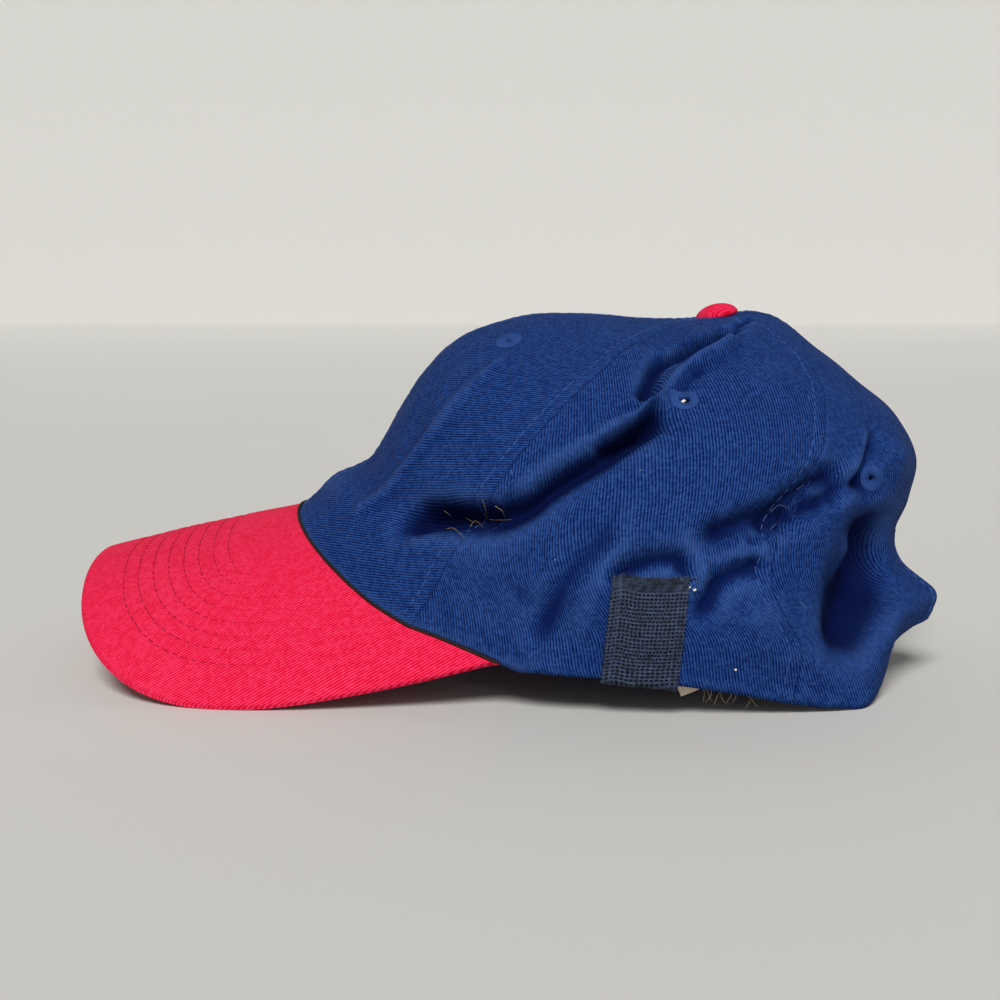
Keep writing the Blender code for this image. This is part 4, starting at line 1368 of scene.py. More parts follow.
@dataclass
class Stitching(ManyParts):
    """Rows of stitches of one thread.

    Attributes:
        length: Length of a stitch.
        pitch: Distance from one stitch to the next.
        radius: Radius of the thread.
        sink: How far a stitch's ends dip into the cloth.
    """

    length: float = 2.5 * MM
    pitch: float = 3.1 * MM
    radius: float = 0.15 * MM
    sink: float = 0.14 * MM

    def __post_init__(self) -> None:
        """Models the one stitch that is copied."""
        self.stitch = self.model_stitch()

    def model_stitch(self) -> Part:
        """One stitch along X, thinner at its ends."""
        add = bpy.ops.mesh.primitive_cylinder_add
        rod = primitive(add, vertices=5, radius=1.0, depth=1.0, rotation=(0, math.pi / 2, 0))
        bpy.ops.object.transform_apply(location=True, rotation=True, scale=True)
        with editing(rod):
            for cut in STITCH_STATIONS[1:-1]:
                bpy.ops.mesh.select_all(action="SELECT")
                bpy.ops.mesh.bisect(plane_co=(cut, 0, 0), plane_no=(1, 0, 0))
        points, faces = taken_out(rod)
        points[:, 1:] *= 1 - 0.55 * (2 * np.abs(points[:, :1])) ** 3
        return points, faces

    def row(self, line: Array, tree: BVHTree, lift: float, draw: np.random.Generator) -> None:
        """Sews a row along a line on a surface.

        Args:
            line: Points of the line.
            tree: The surface.
            lift: Height of the thread's centre above it.
            draw: Random draws for the stitches' small differences.
        """
        points, faces = self.stitch
        nearest = np.interp(points[:, 0], STITCH_STATIONS, range(len(STITCH_STATIONS)))
        k = np.rint(nearest).astype(int)
        dip = self.sink * (2 * np.abs(STITCH_STATIONS)) ** 3
        total = lengths_along(line)[-1]
        for start in np.arange(0.4 * self.pitch, total - self.pitch, self.pitch):
            middle = start + self.length / 2 + draw.normal() * 0.06 * self.pitch
            reach = self.length * (1 + draw.normal() * 0.05)
            stations = at_lengths(line, middle + reach * STITCH_STATIONS)
            hits = [tree.find_nearest(Vector(station), 3 * MM)[:2] for station in stations]
            if any(place is None for place, _ in hits):
                continue
            up = unit(np.array([normal for _, normal in hits]))
            centre = np.array([place for place, _ in hits]) + up * (lift - dip[:, None])
            beside = unit(np.cross(up, unit(np.gradient(centre, axis=0))))
            sway = draw.normal() * 0.10 * self.radius
            offset = beside[k] * (points[:, 1:2] * self.radius + sway) + up[k] * points[:, 2:3] * self.radius
            self.parts.append((centre[k] + offset, faces))

    def build(self) -> Piece:
        """Makes one piece of all the rows."""
        piece = super().build()
        face_outwards(piece)
        return piece


@dataclass
class LooseThreads(ManyParts):
    """A few loose fibres and thread ends on or under the cloth."""

    def strand(self, points: Array, radius: float) -> None:
        """Adds one strand through some points, smoothed, thinner at its end."""
        count = 5 * len(points)
        s = np.linspace(0, len(points) - 1, count)
        knots = np.arange(len(points), dtype=float)
        path = np.stack([through(s, knots, points[:, k]) for k in range(3)], -1)
        radii = radius * (1 - 0.6 * np.linspace(0, 1, count) ** 3)
        self.parts.append(tube(path, radii, 5))

    def lay(self, form: CrownForm, places: Table, radius: float, arch: float) -> None:
        """Adds one strand that lies on the left of the crown.

        Args:
            form: The crown's form.
            places: Panel angle and share of its points.
            radius: Its radius.
            arch: How far its middle lifts.
        """
        angle, share = np.array(places, float).T
        outer = [
            form.outer(angle + turn, share + rise, Side.LEFT)
            for turn, rise in ((0, 0), (0.5, 0), (-0.5, 0), (0, 0.005), (0, -0.005))
        ]
        outward = unit(np.cross(outer[1] - outer[2], outer[3] - outer[4]))
        lift = np.sin(np.linspace(0, math.pi, len(angle))) * arch + 0.25 * MM
        self.strand(outer[0] + outward * lift[:, None], radius)


@dataclass
class Specks(ManyParts):
    """Bits of pale lint on the left of the crown."""

    def scatter(self, form: CrownForm, places: Table) -> None:
        """Adds one lump at each place, which is a panel angle, a share and a size in millimetres."""
        ball = primitive(bpy.ops.mesh.primitive_ico_sphere_add, subdivisions=2, radius=1.0)
        local, faces = taken_out(ball)
        for k, (angle, share, size) in enumerate(places):
            centre = form.at(angle, share, Side.LEFT) + [0.3 * MM, 0, 0]
            lumpy = local * (1 + 0.25 * Ripples(40 + k, 4, 0.8, 2.0).at(local))[:, None]
            self.parts.append((centre + lumpy * [0.4, 1.0, 0.8] * size * MM, faces))


@dataclass
class Eyelet:
    """Embroidered ring around a hole that goes through a panel.

    Attributes:
        panel: Front, side or back.
        angle: Panel angle.
        share: Share of the panel's height.
        outer: Radius of the ring.
        hole: Radius of its hole.
        threads: Number of satin stitches around it.
        seat: Radius inside which the ring follows the cloth at that radius.
    """

    panel: str
    angle: float
    share: float
    outer: float = 4.15 * MM
    hole: float = 1.45 * MM
    threads: int = 44
    seat: float = 3.05 * MM

    def axes(self, form: CrownForm, side: Side) -> tuple[Array, Array, Array, Array]:
        """Centre of the eyelet with its outward, level and upward directions."""
        around = self.angle + np.array([0, 1, -1, 0, 0])
        above = self.share + np.array([0, 0, 0, 0.01, -0.01])
        points = form.outer(around, above, side)
        normal = unit(np.cross(points[1] - points[2], points[3] - points[4])) * side.value
        level = unit(points[1] - points[2])
        level = unit(level - normal * (level @ normal))
        return points[0], normal, level, np.cross(normal, level)

    def profile(self, cloth: float) -> list[tuple[float, float]]:
        """Closed outline of the ring's section: radius and height above the cloth's front."""
        hole, rim = self.hole, self.outer
        front = (
            (hole, 0.05), (hole + 0.12 * MM, 0.26), (hole + 0.6 * MM, 0.40), (hole + 1.25 * MM, 0.44),
            (rim - 0.65 * MM, 0.36), (rim - 0.12 * MM, 0.20), (rim, 0.02), (rim - 0.35 * MM, -0.15),
            (hole + 0.9 * MM, -0.12), (hole + 0.45 * MM, -0.35),
        )
        back = (
            (hole + 0.45 * MM, 0.3), (hole + 0.9 * MM, 0.1), (rim - 0.4 * MM, 0.1), (rim - 0.1 * MM, -0.2),
            (hole + 1.2 * MM, -0.6), (hole + 0.3 * MM, -0.45), (hole, -0.1),
        )
        return [(r, h * MM) for r, h in front] + [(r, h * MM - cloth) for r, h in back]

    def spun(self, name: str, cloth: float) -> Piece:
        """The plain ring, spun around Z from its section."""
        outline = self.profile(cloth)
        count = len(outline)
        mesh = bpy.data.meshes.new(name)
        mesh.from_pydata([(r, 0, h) for r, h in outline], [(k, (k + 1) % count) for k in range(count)], [])
        ring = linked(name, mesh)
        with editing(ring):
            bpy.ops.mesh.spin(steps=self.threads * 4, angle=FULL_TURN, center=(0, 0, 0), axis=(0, 0, 1))
            bpy.ops.mesh.select_all(action="SELECT")
            bpy.ops.mesh.remove_doubles(threshold=1e-6)
            bpy.ops.mesh.normals_make_consistent(inside=False)
        mesh.polygons.foreach_set("use_smooth", [True] * len(mesh.polygons))
        return ring

    def stitched(self, local: Array, radius: Array, cloth: float) -> Array:
        """The plain ring's vertices raised into satin stitches.

        Args:
            local: Its vertices.
            radius: Their distances from its axis.
            cloth: Thickness of the cloth.

        Returns:
            The vertices.
        """
        turn = np.arctan2(local[:, 1], local[:, 0])
        satin = np.cos(turn * self.threads + 0.3 * (radius - self.hole) / MM)
        uneven = np.sin(turn * 7 + 1.3) * 0.3 + np.sin(turn * 13 + 0.4) * 0.2
        middle = local[:, 2] + cloth / 2
        raised = ease(0.0, 0.3 * MM, np.abs(middle) - cloth / 2 + 0.1 * MM)
        lift = np.sign(middle) * raised * (0.11 * satin + 0.08 * uneven) * MM
        swell = 1 + 0.012 * satin * ease(0.8 * self.outer, self.outer, radius)
        return np.column_stack([local[:, :2] * swell[:, None], local[:, 2] + lift])

    def build(self, form: CrownForm, side: Side, cloth: BVHTree, finish: Material) -> None:
        """Makes the ring.

        Args:
            form: The crown's form.
            side: The wearer's left or right.
            cloth: Faces of its panel.
            finish: The thread's material.
        """
        centre, normal, level, rising = self.axes(form, side)
        place = f"{self.panel}_{side.name.lower()}"
        ring = self.spun(f"ring_{place}", form.cloth)
        local = vertex_places(ring)
        radius = np.linalg.norm(local[:, :2], axis=1)
        shaped = self.stitched(local, radius, form.cloth)
        spoke = level * shaped[:, :1] + rising * shaped[:, 1:2]
        foot = centre + spoke * (np.maximum(radius, self.seat) / radius)[:, None]
        base = np.array([surface_height(cloth, point, normal) for point in foot])
        move_vertices(ring, centre + spoke + normal * (base + shaped[:, 2])[:, None])
        if side is Side.RIGHT:
            face_outwards(ring)
        dress(ring, finish, f"eyelet_{place}")


# The visor


@dataclass
class Visor:
    """Curved visor with concentric rows of stitching.

    Attributes:
        form: Its form.
        crown: The crown's form, for the seam.
        across: Cells from end to end.
        deep: Cells from the seam to the rim.
        first_row: Distance of the outer stitch row from the rim.
        row_step: Distance between the rows.
        rows: Number of rows.
        row_width: Half width of a row's furrow.
        row_depth: Depth of a row's furrow at the front.
        slack: Height of the soft ripples.
        gap: Clearance from the crown.
        cord: Radius of the cord in the seam.
    """

    form: VisorForm
    crown: CrownForm
    across: int = 280
    deep: int = 104
    first_row: float = 12.8 * MM
    row_step: float = 4.46 * MM
    rows: int = 8
    row_width: float = 0.62 * MM
    row_depth: float = 0.36 * MM
    slack: float = 0.07 * MM
    gap: float = 0.15 * MM
    cord: float = 0.45 * MM

    def seam(self, count: int, out: float) -> Array:
        """The seam with the crown, right to left, in the flat shape."""
        angle = np.linspace(0, self.form.end_angle, 300)
        hem = self.crown.hem(angle)
        along = unit(np.gradient(hem[:, :2], axis=0))
        moved = hem[:, :2] + out * np.stack([along[:, 1], -along[:, 0]], -1)
        flat = np.stack([self.form.bend * np.arcsin(moved[:, 0] / self.form.bend), moved[:, 1]], -1)
        return even_steps(np.concatenate([(flat * [-1, 1])[::-1], flat[1:]]), count)

    def row_line(self, inset: float, count: int = 500) -> Array:
        """A stitch row in the flat shape, at a distance inside the rim."""
        rim = self.form.rim(900)
        along = unit(np.gradient(rim, axis=0))
        moved = rim + inset * np.stack([-along[:, 1], along[:, 0]], -1)
        seam = self.seam(400, 2.5 * MM)
        keep = np.array([inside_seam(seam, p) for p in moved])
        return even_steps(moved[keep], count)

    def furrows(self, flat: Array) -> Array:
        """Depth of the stitched furrows at points of the flat shape."""
        rim = self.form.rim(700)
        distance = np.empty(flat.shape[:-1])
        for i in range(len(flat)):
            distance[i] = np.sqrt(((flat[i][:, None] - rim[None]) ** 2).sum(-1)).min(1)
        depth = np.zeros_like(distance)
        for k in range(self.rows):
            depth += hump(distance, self.first_row + k * self.row_step, self.row_width)
        return depth * self.row_depth * (1 - 0.6 * ease(-0.088, -0.045, flat[..., 1]))

    def build(self, finish: Material) -> Piece:
        """Makes the visor."""
        seam = self.seam(self.across + 1, self.gap)
        rim = self.form.rim(self.across + 1)
        share = np.linspace(0, 1, self.deep + 1)[None, :, None]
        flat = seam[:, None] * (1 - share) + rim[:, None] * share
        span = np.linalg.norm(rim - seam, axis=1)[:, None]
        to_rim = (1 - share[..., 0]) * span
        half = self.form.thick / 2
        rounding = half * (1 - np.sqrt(np.clip(1 - (1 - np.clip(to_rim / half, 0, 1)) ** 2, 0, 1)))
        furrow = self.furrows(flat) * ease(0, 6 * MM, to_rim)
        ripples = Ripples(23, 8, 0.010, 0.030).at(np.concatenate([flat, 0 * flat[..., :1]], -1))
        slack = self.slack * ripples * ease(0, 8 * MM, to_rim)
        top = self.form.bent(flat, slack - furrow - rounding)
        under = self.form.bent(flat, rounding + furrow * 0.8 - self.form.thick)
        for grid in (top, under):
            grid += self.crown.move
            grid[..., 2] = np.maximum(grid[..., 2], 0.0)
        faces = shell_faces(*top.shape[:2], set())
        piece = mesh_object("visor_cloth", (both_walls(top, under), faces))
        face_outwards(piece)
        add_cloth_map(piece, both_walls(flat, flat))
        dress(piece, finish, "visor")
        return piece

    def piping(self, finish: Material) -> None:
        """Makes the dark cord in the corner between the visor and the crown."""
        flat = self.seam(420, self.cord * 0.9)
        path = self.form.bent(flat, self.cord * 0.75) + self.crown.move
        twist = 1 + 0.06 * np.sin(np.arange(len(path)) * 1.9)
        piece = mesh_object("seam_cord", tube(path, self.cord * twist, 8))
        face_outwards(piece)
        dress(piece, finish, "visor_piping")

    def sew(self, piece: Piece, thread: Material) -> None:
        """Sews the rows on the top and the underside.

        Args:
            piece: The visor's mesh.
            thread: The thread's material.
        """
        draw = np.random.default_rng(9)
        tree = surface_tree(piece)
        for name, lift in (("top", 0.0), ("under", -self.form.thick)):
            sewing = Stitching(f"visor_stitches_{name}", thread, "visor_twill")
            for k in range(self.rows):
                line = self.form.bent(self.row_line(self.first_row + k * self.row_step), lift)
                sewing.row(line + self.crown.move, tree, 0.05 * MM, draw)
            sewing.build()


def inside_seam(seam: Array, point: Array) -> bool:
    """Whether a flat point lies on the visor's side of its seam with the crown."""
    near = int(((seam - point) ** 2).sum(1).argmin())
    way = seam[min(near + 1, len(seam) - 1)] - seam[max(near - 1, 0)]
    offset = point - seam[near]
    return bool(way[0] * offset[1] - way[1] * offset[0] < 0)


@dataclass
class Button:
    """Cloth-covered button on top.

    Attributes:
        centre: Where the panels meet.
        top: Height of its solid's highest point.
        radius: Radius.
        height: Height of the dome.
        under: Depth of its underside.
        lower: How far its top stays below its solid's.
        tilt: Lean towards the front, in degrees.
        gathers: Gathers of the cloth around its edge.
    """

    centre: Array
    top: float
    radius: float = 6.7 * MM
    height: float = 3.5 * MM
    under: float = 2.2 * MM
    lower: float = 0.9 * MM
    tilt: float = 13.0
    gathers: int = 12

    def build(self, finish: Material) -> None:
        """Makes the button with its cloth gathered under its edge."""
        add = bpy.ops.mesh.primitive_uv_sphere_add
        dome = primitive(add, segments=72, ring_count=40, radius=self.radius)
        dome.name = dome.data.name = "button_cloth_dome"
        local = vertex_places(dome) / self.radius
        turn = np.arctan2(local[:, 1], local[:, 0])
        wide = np.linalg.norm(local[:, :2], axis=1)
        domed = np.abs(local[:, 2]) ** 1.15 * self.height
        z = np.where(local[:, 2] > 0, domed, local[:, 2] * self.under)
        gather = np.cos(turn * self.gathers + 0.7 * np.sin(turn * 3))
        low = 1 - ease(-0.05 * self.height, 0.45 * self.height, z)
        out = self.radius * (wide + 0.016 * gather * low * wide)
        spoke = np.stack([np.cos(turn) * out, np.sin(turn) * out], -1)
        lean = math.radians(self.tilt)
        axis = np.array([0, -math.sin(lean), math.cos(lean)])
        ahead = np.array([0, math.cos(lean), math.sin(lean)])
        points = self.centre + spoke[:, :1] * np.array([1.0, 0, 0]) + spoke[:, 1:] * ahead
        rise = math.hypot(self.radius * math.sin(lean), self.height * math.cos(lean))
        seat = (self.top - self.lower - self.centre[2] - rise) / math.cos(lean)
        move_vertices(dome, points + (z + seat)[:, None] * axis)
        bpy.ops.object.shade_smooth()
        add_cloth_map(dome, spoke)
        # Crests of the gathers get the worn colour, their troughs painted shade
        add_values(dome, "ridge", 0.3 * gather * low)
        dress(dome, finish, "crown_button")


# The side loop, label and strap


@dataclass
class SideLoop:
    """Woven elastic loop over the left hem.

    Attributes:
        tree: Faces of the left side panel.
        hem: Points of the left hem.
        move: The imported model's place against the named sizes.
        width: Width of the elastic.
        thick: Its thickness.
        length: Its length from the upper edge, round the hem, to its inner end.
        top: Height of its upper edge.
        front_top: Y of its front edge at the top.
        front_hem: Y of its front edge at the hem.
        back: Length that is turned up inside.
        inside: How far its inner side lies behind its outer one at the hem.
        cells: Cells across it.
        step: Length of its cells.
        row_pitch: Distance between the weave's rows.
        gap_depth: Depth of the gaps of the weave.
        probe: X from which the cloth is looked for.
    """

    tree: BVHTree
    hem: Array
    move: Array
    width: float = 20.7 * MM
    thick: float = 1.1 * MM
    length: float = 44.0 * MM
    top: float = 38.5 * MM
    front_top: float = 29.9 * MM
    front_hem: float = 27.1 * MM
    back: float = 8.0 * MM
    inside: float = 2.4 * MM
    cells: int = 112
    step: float = 0.24 * MM
    row_pitch: float = 1.02 * MM
    gap_depth: float = 0.42 * MM
    probe: float = 80 * MM

    def weave(self, across: Array, along: Array) -> Array:
        """How far the yarns cover each place: 0 in a gap, 1 on a yarn.

        Args:
            across: Distance from the front edge.
            along: Distance from the cut upper edge.

        Returns:
            The cover.
        """
        edge = np.minimum(across, self.width - across)
        row = np.floor(along / self.row_pitch)
        rib = np.cos(FULL_TURN * along / self.row_pitch)
        bands = (hump(along, 10.2 * MM, 1.7 * MM) > 0.45) | (hump(along, 20.6 * MM, 1.7 * MM) > 0.45)
        tacked = bands & (np.abs(across - self.width * 0.47) < self.width * 0.31)
        lean = np.where(tacked, row * 0.46 * MM, 0.10 * MM * np.sin(row * 2.4))
        bar_pitch = np.where(along > 23 * MM, 1.35 * MM, 1.10 * MM)
        turns = (across + lean) / np.where(tacked, 0.95 * MM, bar_pitch)
        chance = np.abs(np.sin(np.round(turns) * 12.99 + row * 78.23) * 43758.5) % 1.0 - 0.5
        bar = np.cos(FULL_TURN * turns)
        hole = np.clip(bar * 2.0 + 1.35 + chance, 0, 1) * np.clip(-rib * 2.0 + 1.15 + chance, 0, 1)
        fine = np.sin(across / (0.11 * MM) + 2 * row) * np.sin(along / (0.12 * MM)) * 0.5 + 0.5
        hole = np.where(along < 3.8 * MM, fine, hole)
        hole = hole * (1 - 0.45 * (1 - ease(0.4 * MM, 1.3 * MM, edge)))
        hole = hole * (1 - 0.6 * hump(edge, 2.4 * MM, 0.45 * MM))
        return np.clip((1 - 1.15 * hole + 0.10 * rib) * (0.80 + 0.75 * chance), 0, 1)

    def inner_lines(self) -> tuple[Array, Array]:
        """Lines of the elastic's inner face, from its upper edge round the hem.

        Returns:
            Their points, and each point's distance along its line.
        """
        across = np.linspace(0, 1, self.cells + 1)[:, None] * self.width + self.move[1]
        down = np.linspace(0, 1, 40)[None]
        order = np.argsort(self.hem[:, 1])
        hem_y = self.front_hem + across[:, 0]
        hem_z = np.interp(hem_y, self.hem[order, 1], self.hem[order, 2])
        y = self.front_top + (self.front_hem - self.front_top) * down + across
        z = self.top + (hem_z[:, None] + 0.4 * MM - self.top) * down
        feet = np.stack([np.full_like(y, self.probe), y, z], -1).reshape(-1, 3)
        outward = np.array([1.0, 0.0, 0.0])
        heights = [surface_height(self.tree, foot, outward, 20 * MM) for foot in feet]
        x = smoothed(self.probe + np.array(heights).reshape(y.shape), 9, 3) + 0.25 * MM
        lines, places = [], []
        for front, line_y, line_z in zip(np.stack([x, y, z], -1), hem_y, hem_z):
            line = np.concatenate([front, self.turned_up(front[-1, 0], line_y, line_z)])
            where = np.linspace(0, lengths_along(line)[-1], int(round(self.length / self.step)) + 1)
            lines.append(at_lengths(line, where))
            places.append(where)
        return np.array(lines), np.array(places)

    def turned_up(self, x: float, y: float, z: float) -> Array:
        """Points of a line from the outside of the hem round it and up inside.

        Args:
            x: X of the line outside.
            y: Its Y.
            z: Height of the hem.

        Returns:
            The points.
        """
        behind = x - self.inside
        turn = np.linspace(0, math.pi, 9)[1:-1]
        round_x = (x + behind) / 2 + self.inside / 2 * np.cos(turn)
        round_z = z - 0.1 * MM - 0.5 * MM * np.sin(turn)
        all_x = np.concatenate([round_x, [behind, behind - 0.3 * MM]])
        all_z = np.concatenate([round_z, [z + 0.6 * MM, z + self.back]])
        return np.stack([all_x, np.full_like(all_x, y), all_z], -1)

    def build(self, finish: Material) -> Array:
        """Makes the loop.

        Args:
            finish: The elastic's material.

        Returns:
            The points of its upper edge.
        """
        near, along = self.inner_lines()
        across = np.linspace(0, 1, self.cells + 1)[:, None] * self.width + 0 * along
        step = np.gradient(near, axis=1)
        out = unit(np.stack([-step[..., 2], 0 * step[..., 0], step[..., 0]], -1))
        cover = self.weave(across, along)
        edge = np.minimum(across, self.width - across)
        rounded = 0.35 * self.thick * (1 - ease(0, 0.8 * MM, edge))
        ripple = 0.05 * MM * np.sin(FULL_TURN * along / (3.1 * MM) + 9 * across / self.width)
        lift = self.thick - rounded - self.gap_depth * (1 - cover) + ripple
        far = near + out * lift[..., None]
        far[..., 2] += 0.22 * MM * np.sin(across / (0.31 * MM)) * np.exp(-along / (0.6 * MM))
        bulge = 0.14 * MM * np.cos(FULL_TURN * along / self.row_pitch) * np.exp(-edge / (0.35 * MM))
        far[..., 1] += bulge * np.sign(across - self.width / 2)
        faces = shell_faces(*far.shape[:2], set())
        piece = mesh_object("loop_elastic_strip", (both_walls(far, near + out * 0.12 * MM), faces))
        face_outwards(piece)
        cover = cover[..., None]
        # Painted shade: the face against the cloth gets half the cover, so it is darker
        add_values(piece, "weave", both_walls(cover, 0.5 * cover))
        dress(piece, finish, "side_loop")
        return far[:, 0]

    def fray(self, edge: Array, finish: Material) -> None:
        """Frays the cut upper edge, with one curled end at its rear corner.

        Args:
            edge: Points of the upper edge.
            finish: The yarn's material.
        """
        draw = np.random.default_rng(3)
        frays = LooseThreads("loop_frays", finish, "loop_elastic")
        for start in edge[:-1:3]:
            way = np.array([0.3 * draw.normal(), 0.5 * draw.normal(), 1.0]) * draw.uniform(0.3, 0.9) * MM
            bend = np.array([0.25 * MM * draw.normal(), 0.3 * MM * draw.normal(), 0.0])
            root = start - [0.1 * MM, 0, 0.5 * MM]
            frays.strand(np.array([root, start + way * 0.5, start + way + bend]), 0.06 * MM)
        frays.strand(edge[-1] + np.array(CURLED_END) * MM, 0.13 * MM)
        frays.build()


@dataclass
class CareLabel:
    """Small blank label inside the left hem.

    Attributes:
        x: X of its outer face.
        move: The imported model's place against the named sizes.
        length: Its length.
        height: Its height.
        thick: Its thickness.
        turn: Angle that it hangs at, in degrees.
        corner: Y and Z of its lowest corner.
    """

    x: float
    move: Array
    length: float = 20 * MM
    height: float = 12 * MM
    thick: float = 0.28 * MM
    turn: float = 23.0
    corner: tuple[float, float] = (49.2 * MM, 5.0 * MM)

    def build(self, finish: Material) -> None:
        """Makes the label, with a slight curl."""
        add = bpy.ops.mesh.primitive_grid_add
        label = primitive(add, x_subdivisions=40, y_subdivisions=24, size=1.0)
        label.name = label.data.name = "care_label_tape"
        local = vertex_places(label) + [0.5, 0.5, 0.0]
        turn = math.radians(self.turn)
        along = np.array([0, math.cos(turn), math.sin(turn)])
        up = np.array([0, -math.sin(turn), math.cos(turn)])
        start = np.array([self.x, self.corner[0] + self.move[1], self.corner[1]])
        curl = 0.5 * MM * np.sin(local[:, 0] * 3.0) - 0.25 * MM * (1 - local[:, 1]) ** 2
        points = start + along * local[:, :1] * self.length + up * local[:, 1:2] * self.height
        points[:, 0] -= 0.25 * MM + np.abs(curl)
        move_vertices(label, points)
        add_cloth_map(label, local[:, :2] * [self.length, self.height])
        wall = label.modifiers.new("wall", "SOLIDIFY")
        wall.thickness = self.thick
        wall.offset = 0.0
        select_only(label)
        bpy.ops.object.modifier_apply(modifier="wall")
        bpy.ops.object.shade_smooth()
        dress(label, finish, "care_label")


@dataclass
class RearStrap:
    """Plain moulded band across the rear opening, which keeps its solid's place.

    Attributes:
        edge: Width of its rounded edges.
        sharp: Angle between faces from which an edge is rounded, in degrees.
    """

    edge: float = 0.35 * MM
    sharp: float = 35.0

    def build(self, finish: Material) -> None:
        """Makes a softened copy of the strap's solid."""
        strap = linked("rear_band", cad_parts["snap_strap"].data.copy())
        with editing(strap):
            bpy.ops.mesh.remove_doubles(threshold=0.01 * MM)
            bpy.ops.mesh.dissolve_limited(angle_limit=math.radians(1))
        rounding = strap.modifiers.new("edge", "BEVEL")
        rounding.width = self.edge
        rounding.segments = 2
        rounding.angle_limit = math.radians(self.sharp)
        bpy.ops.object.modifier_apply(modifier="edge")
        bpy.ops.object.shade_smooth_by_angle(angle=math.radians(self.sharp))
        strap.data.materials.clear()
        dress(strap, finish, "snap_strap")


# Light, floor and camera


@dataclass(frozen=True)
class Studio:
    """Pale floor, soft lights and the photograph's camera.

    Attributes:
        move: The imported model's place against the camera's frame.
        distance: Camera's X.
        height: Camera's Z.
        pitch: How far it looks down, in degrees.
        lens: Focal length on a sensor of 36 mm.
        sun_way: Direction that the main light comes from.
        sun_spread: Width of the patch of sky that it comes from, in degrees.
        sun_strength: Its strength.
        fill_place: Where the second light stands.
        fill_target: The point that it faces.
        fill_size: Length of its sides.
        fill_power: Its power in watts.
        room: Strength of the light from all sides.
    """

    move: Point
    distance: float = 0.500
    height: float = 0.120
    pitch: float = 8.3
    lens: float = 57.06
    sun_way: Point = (0.72, -0.10, 0.78)
    sun_spread: float = 24.0
    sun_strength: float = 2.95
    fill_place: Point = (1.2, 0.40, 0.30)
    fill_target: Point = (0.0, 0.03, 0.04)
    fill_size: float = 1.0
    fill_power: float = 3.1
    room: float = 0.07

    def build(self) -> None:
        """Makes all of it."""
        self.floor()
        self.backdrop()
        self.sun()
        self.fill()
        world = bpy.data.worlds.new("room")
        world.use_nodes = True
        background = world.node_tree.nodes["Background"]
        background.inputs[0].default_value = (0.90, 0.91, 0.93, 1)
        background.inputs[1].default_value = self.room
        bpy.context.scene.world = world
        bpy.context.scene.view_settings.view_transform = "Standard"
        self.camera()

    def floor(self) -> None:
        """Makes the pale floor, just under the cap."""
        floor = primitive(bpy.ops.mesh.primitive_plane_add, size=9.0, location=(0, 0, -0.2 * MM))
        floor.name = "floor"
        g = Graph("pale_floor")
        patch = g.noise(g.object_place(), 2.0, 3.0)
        colour = g.mix(patch, (0.60, 0.59, 0.56), (0.65, 0.64, 0.61))
        floor.data.materials.append(g.finish(Base_Color=colour, Roughness=0.75))

    def backdrop(self) -> None:
        """Makes a pale lit wall far behind the cap."""
        add = bpy.ops.mesh.primitive_plane_add
        wall = primitive(add, size=12.0, location=(-3.0, 0, 0), rotation=(0, math.pi / 2, 0))
        wall.name = "backdrop"
        finish = Graph("pale_wall").finish(
            Base_Color=(0.6, 0.59, 0.56),
            Roughness=0.9,
            Emission_Color=(1.0, 0.98, 0.93),
            Emission_Strength=0.10,
        )
        wall.data.materials.append(finish)

    def sun(self) -> None:
        """Makes the main light, even and from a wide patch of sky."""
        lamp = bpy.data.lights.new("key", "SUN")
        lamp.angle = math.radians(self.sun_spread)
        lamp.energy = self.sun_strength
        linked("key", lamp).rotation_euler = facing(-Vector(self.sun_way))

    def fill(self) -> None:
        """Makes the second light, square and soft."""
        lamp = bpy.data.lights.new("fill", "AREA")
        lamp.shape = "SQUARE"
        lamp.size = self.fill_size
        lamp.energy = self.fill_power
        holder = linked("fill", lamp)
        holder.location = self.fill_place
        holder.rotation_euler = facing(Vector(self.fill_target) - Vector(self.fill_place))

    def camera(self) -> None:
        """Makes the camera at the photograph's angle."""
        data = bpy.data.cameras.new("view")
        data.lens = self.lens
        data.sensor_width = 36.0
        data.clip_start = 0.01
        camera = linked("view", data)
        camera.location = Vector((self.distance, 0.0, self.height)) + Vector(self.move)
        camera.rotation_euler = (math.radians(90 - self.pitch), 0.0, math.radians(90))
        bpy.context.scene.camera = camera


def facing(way: Vector) -> Any:
    """Rotation of a light that shines in a direction."""
    return way.to_track_quat("-Z", "Y").to_euler()


# All of it


PANEL_SPAN = {"front": (0.0, 60.0), "side": (60.0, 120.0), "back": (120.0, 180.0)}
PANEL_LEAN = {"front": -64.0, "side": 26.0, "back": 28.0}
